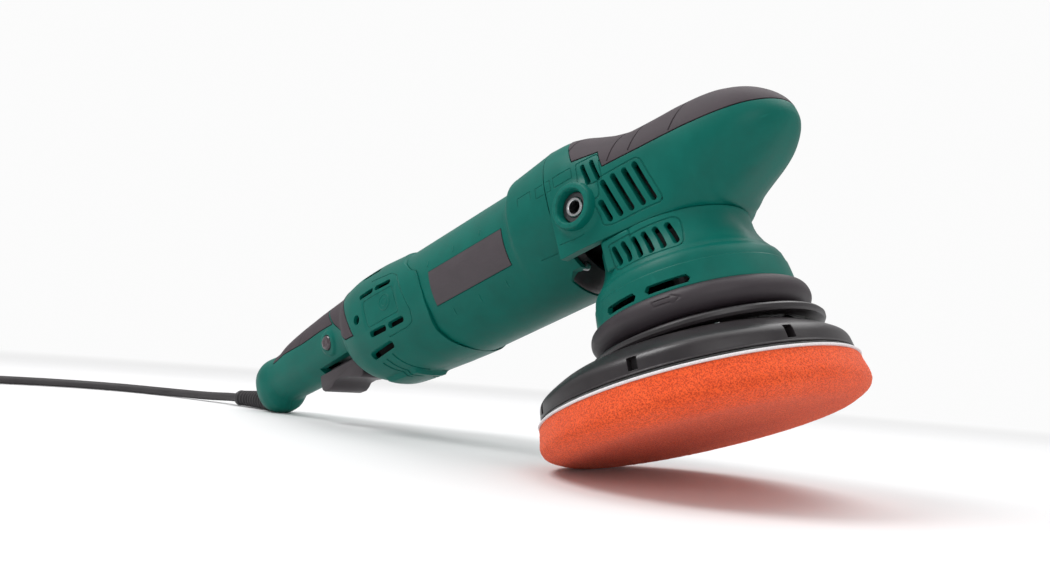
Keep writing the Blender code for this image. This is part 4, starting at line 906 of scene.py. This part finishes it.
FRAME_SMALL = [(-20.0, 119.4), (-9.4, 119.4), (-8.0, 118.2), (-7.0, 107.6)]


def head_points(d=0.0, stop=100.0, extra=0.0, relief=False, step=1.0, up=72, low=44, raise_by=0.0, grooves=False):
    last = min(stop, 74.3)
    x = np.unique(np.concatenate([np.arange(-41.0, last, step), [a for a in (70.5, 71.8, 72.6, 73.2, 73.7, 74.0, 74.2) if a < last], [last]]))
    top, mid, bottom, w, wb, power = (curve_through(HEAD[:, 0], HEAD[:, k], x) for k in range(1, 7))
    w, top, bottom, wb = np.maximum(w - d, 0.4), top - d, bottom + d, np.maximum(wb - d, 0.3)
    if extra:
        x = np.concatenate([[x[0] - extra], x])
        top, mid, bottom, w, wb, power = (np.concatenate([[v[0]], v]) for v in (top, mid, bottom, w, wb, power))
    a = np.pi * np.arange(up + 1) / up
    c, s = np.cos(a), np.maximum(0, np.sin(a))
    p = (2 / power)[:, None]
    y_up = w[:, None] * np.sign(np.round(c, 9)) * np.abs(c) ** p
    z_up = mid[:, None] + (top - mid)[:, None] * s ** p
    t = (np.arange(1, low + 1) / low)[None, :]
    half = wb[:, None] + (w - wb)[:, None] * np.sqrt(1 - t * t)
    z_low = mid[:, None] - (mid - bottom)[:, None] * t
    y = np.concatenate([y_up, -half, half[:, ::-1]], 1)
    z = np.concatenate([z_up, z_low, z_low[:, ::-1]], 1)
    X = np.repeat(x[:, None], y.shape[1], 1)
    zc = np.minimum(107.0, (top + bottom) / 2)[:, None]
    off = np.full_like(X, raise_by)
    if relief:
        side = ridge(20.0 - np.abs(y), 0.0, 6.0)
        # fillet round the side handle boss, and a groove along the seam at the front
        r = np.hypot(X - BOSS_X, z - BOSS_Z)
        fil = np.clip((15.0 - r) / 3.4, 0, 1)
        off += 1.6 * fil ** 2 * side
        off -= 0.45 * ridge(np.abs(z - 77.6), 0.12, 0.35) * (X > 34)
    length = np.maximum(1.0, np.hypot(y, z - zc))
    k = 1 + off / length
    return np.stack([X, y * k, zc + (z - zc) * k], -1)


GRIP_ZONE = [(-36.5, 170.0), (-23.0, 122.4), (-8.0, 120.4), (-6.4, 111.0), (12.0, 111.0), (90.0, 112.6), (90.0, 170.0)]
GRIP_IN = [(-36.0, 170.0), (-22.55, 122.9), (-7.5, 120.9), (-5.9, 111.5), (12.0, 111.5), (90.0, 113.1), (90.0, 170.0)]


def head_upper():
    upper = skin("upper", head_points(relief=True))
    cut(upper, skin("upper_in", head_points(4.6, stop=69.0, extra=8.0, step=2.5, up=36, low=20)))
    layer = skin("skin_layer", head_points(-4.0, extra=2.0, step=2.5, up=36, low=20))
    cut(layer, skin("skin_under", head_points(2.6, stop=73.0, extra=8.0, step=2.5, up=36, low=20)))
    keep(layer, prism("zone", GRIP_ZONE, -70, 70))
    cut(upper, layer)
    cut(upper, box("open_floor", -60, -5.3, -34.9, 34.9, 40, 84.7), rod("open_neck", "z", (0, 0), 33.0, 40.0, 86.0, 96))
    cut(upper, box("open_back", -60, -36.2, -33.5, 33.5, 70, 130))
    engrave(upper, rounded(FRAME_LONG, 1.6), 0.40, True)
    engrave(upper, rounded([(-20.5, 119.8), (-9.0, 119.8), (-7.2, 118.0), (-7.6, 105.4), (-20.5, 105.6)], 1.2), 0.34, True)
    engrave(upper, [(-39.8, 119.6), (-37.4, 119.6), (-37.4, 113.8), (-39.8, 113.8)], 0.26)
    engrave(upper, rounded([(-35.2, 119.6), (-23.6, 119.6), (-23.6, 113.9), (-35.2, 113.9)], 0.6, 2), 0.26, True)
    engrave(upper, [(-39.5, 84.4), (-30.0, 83.4), (-24.0, 83.6)], 0.26)
    for s in (1, -1):
        boss = turned("boss", [(0, s * 37.0), (12.2, s * 37.0), (11.9, s * 41.5), (11.6, s * 44.6), (11.1, s * 45.45), (10.3, s * BOSS_Y), (0, s * BOSS_Y)],
                      "y", (BOSS_X, BOSS_Z), 96)
        join(upper, boss)
        hole = turned("hole", [(0, s * 30.0), (8.0, s * 30.0), (8.0, s * 44.2), (8.4, s * 45.2), (9.2, s * 46.0), (9.2, s * 60.0), (0, s * 60.0)],
                      "y", (BOSS_X, BOSS_Z), 96)
        cut(upper, hole)
        lo, hi = sorted((s * 24.0, s * 61.0))
        for p, q in SMALL_SLOTS:
            cut(upper, slot_bar("slot", p, q, 1.25, lo, hi))
        for p, q in LONG_SLOTS:
            cut(upper, slot_bar("slot", p, q, 1.45, lo, hi))
    return upper


place(head_upper(), "head_shell_upper", GREEN, "housing", ["head_cover_upper"], 32)

palm = skin("palm", head_points(raise_by=0.25, grooves=True, step=0.8))
for x0 in (-29.5, -3.0, 8.5, 29.5):
    z1 = 122.6 if x0 < -20 else 112.6
    engrave(palm, [(x0 + 0.62 * t - 0.006 * t * t, z1 + t) for t in range(0, 20)], 0.45)
cut(palm, skin("palm_in", head_points(2.3, stop=73.0, extra=8.0, step=2.5, up=36, low=20)))
keep(palm, prism("zone", GRIP_IN, -70, 70))
place(palm, "palm_grip", SOFT, "housing", ["palm_soft_grip"], 40)


def lower_cover():
    outer = [(36.6, 77.0), (36.7, 74.0), (36.9, 70.0), (37.6, 66.5), (38.6, 64.0), (40.2, 60.4), (41.4, 58.6), (42.4, 57.2), (42.7, 56.2),
             (43.0, 55.7), (44.4, 54.8), (45.3, 53.0), (45.9, 50.4), (46.0, 49.0), (46.5, 48.5), (46.8, 46.0), (47.1, 42.4), (47.4, 38.2)]
    inner = [(44.6, 38.2), (44.2, 45.0), (43.4, 50.5), (42.0, 54.2), (39.0, 57.6), (35.6, 62.0), (34.2, 69.0), (34.0, 77.0)]
    lower = turned("lower", outer + inner, n=240)
    ear = box("ear", -18.5, -2.0, -37.8, 37.8, 61.5, 77.0)
    bev = ear.modifiers.new("b", "BEVEL")
    bev.width, bev.segments = 1.4 * MM, 4
    g = bpy.context.evaluated_depsgraph_get()
    m = bpy.data.meshes.new_from_object(ear.evaluated_get(g))
    ear.modifiers.clear()
    ear.data = m
    join(lower, ear)
    cut(lower, turned("trim", [(47.5, 36.0), (90, 36.0), (90, 90), (47.5, 90)], n=96))
    cut(lower, rod("clear", "z", (0, 0), 33.9, 35.0, 90.0, 96))
    for s in (1, -1):
        lo, hi = sorted((s * 22.0, s * 60.0))
        for p, q in (((-11.6, 70.4), (-9.4, 62.4)), ((-6.2, 70.7), (-3.4, 61.6)), ((-0.8, 70.9), (2.6, 61.0)), ((4.6, 71.0), (8.2, 61.0)),
                     ((10.2, 71.1), (13.6, 61.2)), ((15.6, 71.2), (18.8, 61.8))):
            cut(lower, slot_bar("slot", p, q, 1.35, lo, hi))
    engrave(lower, rounded([(-14.0, 73.4), (18.8, 74.4), (20.8, 72.6), (21.8, 60.6), (20.4, 58.6), (-9.0, 58.9), (-13.0, 60.6)], 1.4), 0.40, True)
    # long slots low on the skirt
    for a0, a1 in ((-85, -60), (-115, -91), (60, 85), (91, 115)):
        pts = []
        n = 16
        prof = []
        for i in range(n + 1):
            t = i / n
            ang = math.radians(a0 + (a1 - a0) * t)
            h = 1.9 * min(1.0, math.sqrt(max(0.0, 1 - (max(0.0, abs(t - 0.5) - 0.42) / 0.08) ** 2)) if abs(t - 0.5) > 0.42 else 1.0)
            prof.append((ang, max(h, 0.15)))
        verts, faces = [], []
        for ang, h in prof:
            for r, z in ((40.0, 41.5 - h), (56.0, 41.5 - h), (56.0, 41.5 + h), (40.0, 41.5 + h)):
                verts.append((r * math.cos(ang), r * math.sin(ang), z))
        for i in range(n):
            for k in range(4):
                q = (k + 1) % 4
                faces.append([i * 4 + k, i * 4 + q, (i + 1) * 4 + q, (i + 1) * 4 + k])
        faces += [[3, 2, 1, 0], [n * 4, n * 4 + 1, n * 4 + 2, n * 4 + 3]]
        cut(lower, solid("slot", verts, faces))
    return lower


place(lower_cover(), "head_shell_lower", GREEN, "housing", ["head_cover_lower"], 34)


# ================================================================ bumper and guard
def arrow(v):
    """A small moulded arrow on each side of the bumper."""
    a = np.degrees(np.arctan2(v[:, 1], v[:, 0]))
    r = np.hypot(v[:, 0], v[:, 1])
    for mid in (-74.0, 106.0):
        u = (a - mid) * math.radians(1) * 50.0
        line = to_line(u, v[:, 2], [(-5.8, 31.9), (2.4, 31.9), (2.4, 31.1), (6.0, 33.1), (2.4, 35.1), (2.4, 34.3), (-5.8, 34.3)], True)
        k = 1 - 0.45 * ridge(line, 0.12, 0.28) * (r > 46) / np.maximum(r, 1)
        v[:, 0] *= k
        v[:, 1] *= k
    return v


def round_profile(points, n=7):
    """The profile's points joined by a smooth line."""
    pts = np.array(points, float)
    run = np.concatenate([[0], np.cumsum(np.hypot(*np.diff(pts, axis=0).T))])
    at = np.concatenate([np.linspace(run[i], run[i + 1], n, endpoint=False) for i in range(len(run) - 1)] + [[run[-1]]])
    ext = np.concatenate([[2 * pts[0] - pts[1]], pts, [2 * pts[-1] - pts[-2]]])
    out = []
    for s in at:
        i = min(int(np.searchsorted(run, s, side="right") - 1), len(run) - 2)
        t = (s - run[i]) / (run[i + 1] - run[i])
        p0, p1, p2, p3 = ext[i], ext[i + 1], ext[i + 2], ext[i + 3]
        out.append(tuple(0.5 * ((2 * p1) + (p2 - p0) * t + (2 * p0 - 5 * p1 + 4 * p2 - p3) * t * t + (3 * p1 - p0 - 3 * p2 + p3) * t ** 3)))
    return out


bumper_line = round_profile([(47.4, 38.0), (49.2, 37.5), (50.8, 36.2), (51.7, 33.9), (51.7, 31.2), (50.4, 28.6), (48.6, 26.7), (46.8, 25.9)], 6)
bumper = turned("bumper", [(42.0, 25.9), (42.0, 38.0)] + bumper_line, n=480, change=arrow)
place(bumper, "bumper", BUMPER, "housing", ["bumper_ring"], 40)
guard = turned("guard", [(42.0, 22.4), (42.0, 25.5), (46.8, 25.5), (47.2, 25.0), (48.4, 24.9), (48.9, 24.3), (50.2, 24.2), (50.7, 23.6),
                         (52.4, 23.4), (54.2, 22.9), (54.9, 22.0), (54.8, 20.6), (54.0, 19.5), (51.0, 19.2), (48.0, 19.5), (46.0, 22.4)], n=160)
place(guard, "guard", BLACK, "housing", ["guard_ring"], 30)

# side handle bushes: dark inserts
for s, word in ((1, "left"), (-1, "right")):
    bush = turned("bush", [(4.2, s * 30.0), (7.8, s * 30.0), (7.8, s * 40.6), (7.2, s * 41.4), (5.2, s * 41.4), (4.6, s * 40.8), (4.2, s * 39.8)],
                  "y", (BOSS_X, BOSS_Z), 96)
    place(bush, f"side_bush_{word}", DARK_STEEL, "housing", [f"side_handle_socket_{word}"], 40)


for s, word in ((1, "left"), (-1, "right")):
    ring = turned("ring", [(3.3, s * 36.0), (4.9, s * 36.0), (4.9, s * 41.9), (4.5, s * 42.3), (3.7, s * 42.3), (3.3, s * 41.9)], "y", (BOSS_X, BOSS_Z), 64)
    place(ring, f"side_bush_ring_{word}", STEEL, "housing", None, 40)
case = turned("case", [(30.4, -59.8), (35.0, -59.8), (35.0, -51.9), (37.2, -51.9), (37.2, -50.6), (36.4, -48.5), (34.8, -45.5), (33.0, -42.5), (31.8, -39.0), (30.4, -39.0)], "x", CM, 128)
place(case, "case_collar", CASE_BLACK, "housing", None, 40)
for s, word in ((1, "left"), (-1, "right")):
    head = turned("head", [(0, s * 17.0), (2.6, s * 17.0), (2.6, s * 19.6), (2.2, s * 20.2), (1.1, s * 20.2), (0.9, s * 19.4), (0, s * 19.4)], "y", (-42.8, 78.6), 40)
    place(head, f"case_screw_{word}", STEEL, "housing", None, 40)


# ================================================================ pad
def plate():
    line = round_profile([(54.2, 18.4), (57.6, 17.6), (61.2, 16.1), (65.2, 13.8), (68.6, 11.6), (70.6, 9.9), (71.6, 8.0), (72.0, 5.4), (72.2, 3.2)], 5)
    top = [(9.7, 8.0), (3.8, 8.0), (3.8, 18.5), (30.0, 18.5), (50.0, 18.5), (50.6, 19.0), (51.6, 19.0), (52.2, 18.5)]
    back = turned("plate", [(9.7, 2.4)] + top + line + [(72.4, 2.8), (72.3, 2.4)], "z", ECC, 240)
    for k in range(7):
        a = math.radians(-76.8 + 360 / 7 * k)
        b = box("notch", 66.8, 80.0, -2.1, 2.1, 4.0, 9.6)
        b.data.transform(Matrix.Translation((ECC[0] * MM, ECC[1] * MM, 0)) @ Matrix.Rotation(a, 4, "Z"))
        cut(back, b)
    return back


place(plate(), "backing_disc", BLACK, "pad", ["backing_plate"], 32)


def fuzz(amount, scale, seed):
    def change(v):
        for i, p in enumerate(v):
            n = noise.noise(Vector((p[0] * scale + seed, p[1] * scale, p[2] * scale)))
            dx, dy = p[0] - ECC[0], p[1] - ECC[1]
            r = max(1.0, math.hypot(dx, dy))
            if r > PAD_R - 4:
                k = 1 + amount * n / r
                v[i, 0], v[i, 1] = ECC[0] + dx * k, ECC[1] + dy * k
        return v
    return change


velour_line = [(PAD_R - 1.7, 0.95), (PAD_R - 1.15, 0.75), (PAD_R - 0.9, 0.4), (PAD_R - 0.95, 0.0), (PAD_R - 1.3, -0.3)]
velour = turned("velour", [(0, -0.3), (0, 0.95)] + velour_line, "z", ECC, 900, fuzz(0.16, 2.3, 5.0))
place(velour, "velour_layer", VELOUR, "pad", ["pad_backing"], 50)


def foam_disc():
    side = round_profile([(PAD_R - 1.7, -0.4), (PAD_R - 1.3, -1.4), (PAD_R - 1.1, -3.0), (PAD_R - 0.5, -6.0), (PAD_R, -9.4), (PAD_R - 0.5, -11.8), (PAD_R - 2.1, -13.9),
                          (PAD_R - 5.8, -15.9), (PAD_R - 9.2, -17.2), (PAD_R - 13.0, -FOAM_H)], 6)
    rings = [(r, -FOAM_H) for r in np.linspace(PAD_R - 14.0, 3.0, 50)]
    rings = [(0, -0.4), (30, -0.4), (60, -0.4)] + side + rings + [(0, -FOAM_H)]

    def pores(v):
        for i, p in enumerate(v):
            if p[2] > -0.6:
                continue
            q = Vector(p)
            a = noise.noise(q * 0.85 + Vector((3, 1, 7)))
            b = noise.noise(q * 0.28)
            h = 0.13 * a + 0.12 * b
            dx, dy = p[0] - ECC[0], p[1] - ECC[1]
            r = max(1.0, math.hypot(dx, dy))
            flat = min(1.0, max(0.0, (-p[2] - 13.0) / 5.0))
            k = 1 + h * (1 - flat) / r
            v[i] = (ECC[0] + dx * k, ECC[1] + dy * k, p[2] - h * flat + 0.05 * flat)
        return v

    return turned("foam", rings, "z", ECC, 640, pores)


foam = place(foam_disc(), "foam_disc", FOAM, "pad", ["foam_pad"], 60)


# ================================================================ cord boot, plug
def swept(name, points, radii, n=48, squeeze=None):
    rings = []
    for k, p in enumerate(points):
        q = (points[min(len(points) - 1, k + 1)] - points[max(0, k - 1)]).normalized()
        side = Vector((0, 1, 0))
        up = side.cross(q).normalized()
        side = q.cross(up).normalized()
        ring = []
        for i in range(n):
            t = 2 * math.pi * i / n
            r = radii[k] - (squeeze(k, t) if squeeze else 0.0)
            ring.append((p + (side * math.cos(t) + up * math.sin(t)) * r * MM) * 1000)
        rings.append([tuple(v) for v in ring])
    return skin(name, rings)


total = len(BOOT)
run = np.linspace(0, 1, total)
base = np.interp(run, [0, 0.25, 0.55, 0.80, 0.93, 0.965, 1.0], [7.2, 7.2, 6.9, 6.3, 6.0, 6.2, 5.2])


def ribs(k, t):
    """Grooves cut from both sides, leaving a spine on top and below."""
    s = run[k]
    if s < 0.24 or s > 0.93:
        return 0.0
    pitch = (s - 0.24) / 0.69 * 11.0
    f = pitch % 1.0
    g = max(0.0, min(1.0, (0.30 - abs(f - 0.5)) / 0.07))
    odd = int(pitch) % 2
    spine = abs(math.cos(t)) if odd else abs(math.cos(t))
    open_side = max(0.0, min(1.0, (spine - 0.22) / 0.15))
    return 1.9 * g * open_side


boot = swept("boot", BOOT, base, 64, ribs)
place(boot, "strain_relief", CORD, "housing", ["cord_boot"], 35, tool=False)

PLUG = Vector((-0.370, -0.317, 0.0092))
stations = [(-0.0262, 0.0048, 0.0048), (-0.0258, 0.0056, 0.0054), (-0.024, 0.0060, 0.0058), (-0.020, 0.0066, 0.0063), (-0.016, 0.0082, 0.0071),
            (-0.008, 0.0118, 0.0082), (0.0, 0.0148, 0.0087), (0.008, 0.0168, 0.0089), (0.014, 0.0174, 0.0089), (0.0155, 0.0168, 0.0086),
            (0.0165, 0.0168, 0.0086), (0.018, 0.0174, 0.0089), (0.0248, 0.0170, 0.0088), (0.0260, 0.0160, 0.0080)]
plug = skin("plug", [[((PLUG.x + dx) * 1000, (PLUG.y + w * math.copysign(abs(math.cos(t)) ** 0.85, math.cos(t))) * 1000,
                       (PLUG.z + h * math.copysign(abs(math.sin(t)) ** 0.85, math.sin(t))) * 1000)
                      for t in [2 * math.pi * (i + 0.5) / 64 for i in range(64)]] for dx, w, h in stations])
place(plug, "mains_plug", CORD, "housing", ["plug_body"], 35, tool=False)

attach(mains_lead, "housing")
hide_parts("power_cord", "cord_coil", "plug_lead")

# ================================================================ floor and light
floor_mesh = bpy.data.meshes.new("floor")
floor_mesh.from_pydata([(-6, -6, 0), (6, -6, 0), (6, 6, 0), (-6, 6, 0)], [], [(0, 1, 2, 3)])
floor = bpy.data.objects.new("floor", floor_mesh)
SCENE.objects.link(floor)
m, t, b = tree("floor")
n = noise_at(t, 3.0, 2.0)
c = ramp(t, n.outputs["Fac"], [(0.3, (0.75, 0.75, 0.755)), (0.7, (0.77, 0.77, 0.775))])
t.links.new(c.outputs["Color"], b.inputs["Base Color"])
b.inputs["Roughness"].default_value = 0.85
b.inputs["Specular IOR Level"].default_value = 0.2
# the sweep of the floor runs out into the pale backdrop
where = node(t, "ShaderNodeTexCoord")
far = node(t, "ShaderNodeVectorMath", operation="LENGTH")
t.links.new(where.outputs["Object"], far.inputs[0])
fade = node(t, "ShaderNodeMapRange", interpolation_type="SMOOTHSTEP")
fade.inputs["From Min"].default_value = 0.55
fade.inputs["From Max"].default_value = 2.2
t.links.new(far.outputs["Value"], fade.inputs["Value"])
glow = node(t, "ShaderNodeEmission")
glow.inputs["Color"].default_value = (1, 1, 1, 1)
glow.inputs["Strength"].default_value = 0.97
melt = node(t, "ShaderNodeMixShader")
t.links.new(fade.outputs["Result"], melt.inputs[0])
t.links.new(b.outputs[0], melt.inputs[1])
t.links.new(glow.outputs[0], melt.inputs[2])
t.links.new(melt.outputs[0], t.nodes["Material Output"].inputs["Surface"])
floor_mesh.materials.append(m)

world = bpy.data.worlds.new("studio")
bpy.context.scene.world = world
world.use_nodes = True
wt = world.node_tree
wt.nodes["Background"].inputs["Color"].default_value = (1, 1, 1, 1)
wt.nodes["Background"].inputs["Strength"].default_value = 0.54
pale = wt.nodes.new("ShaderNodeBackground")
pale.inputs["Color"].default_value = (1, 1, 1, 1)
pale.inputs["Strength"].default_value = 0.97
seen = wt.nodes.new("ShaderNodeLightPath")
both = wt.nodes.new("ShaderNodeMixShader")
wt.links.new(seen.outputs["Is Camera Ray"], both.inputs[0])
wt.links.new(wt.nodes["Background"].outputs[0], both.inputs[1])
wt.links.new(pale.outputs[0], both.inputs[2])
wt.links.new(both.outputs[0], wt.nodes["World Output"].inputs["Surface"])


def area(name, where, target, size, power, size_y=None):
    light = bpy.data.lights.new(name, "AREA")
    light.shape = "RECTANGLE"
    light.size = size
    light.size_y = size_y or size
    light.energy = power
    obj = bpy.data.objects.new(name, light)
    SCENE.objects.link(obj)
    obj.location = where
    obj.rotation_euler = (Vector(target) - Vector(where)).to_track_quat("-Z", "Y").to_euler()
    return obj


area("key", (-0.55, -0.75, 1.45), (0.0, 0.0, 0.10), 0.8, 17.0)
area("top", (0.25, 0.6, 1.6), (0.0, 0.0, 0.1), 1.6, 20.0)
area("fill", (1.25, -0.8, 0.7), (0.1, 0.0, 0.1), 0.8, 4.0)
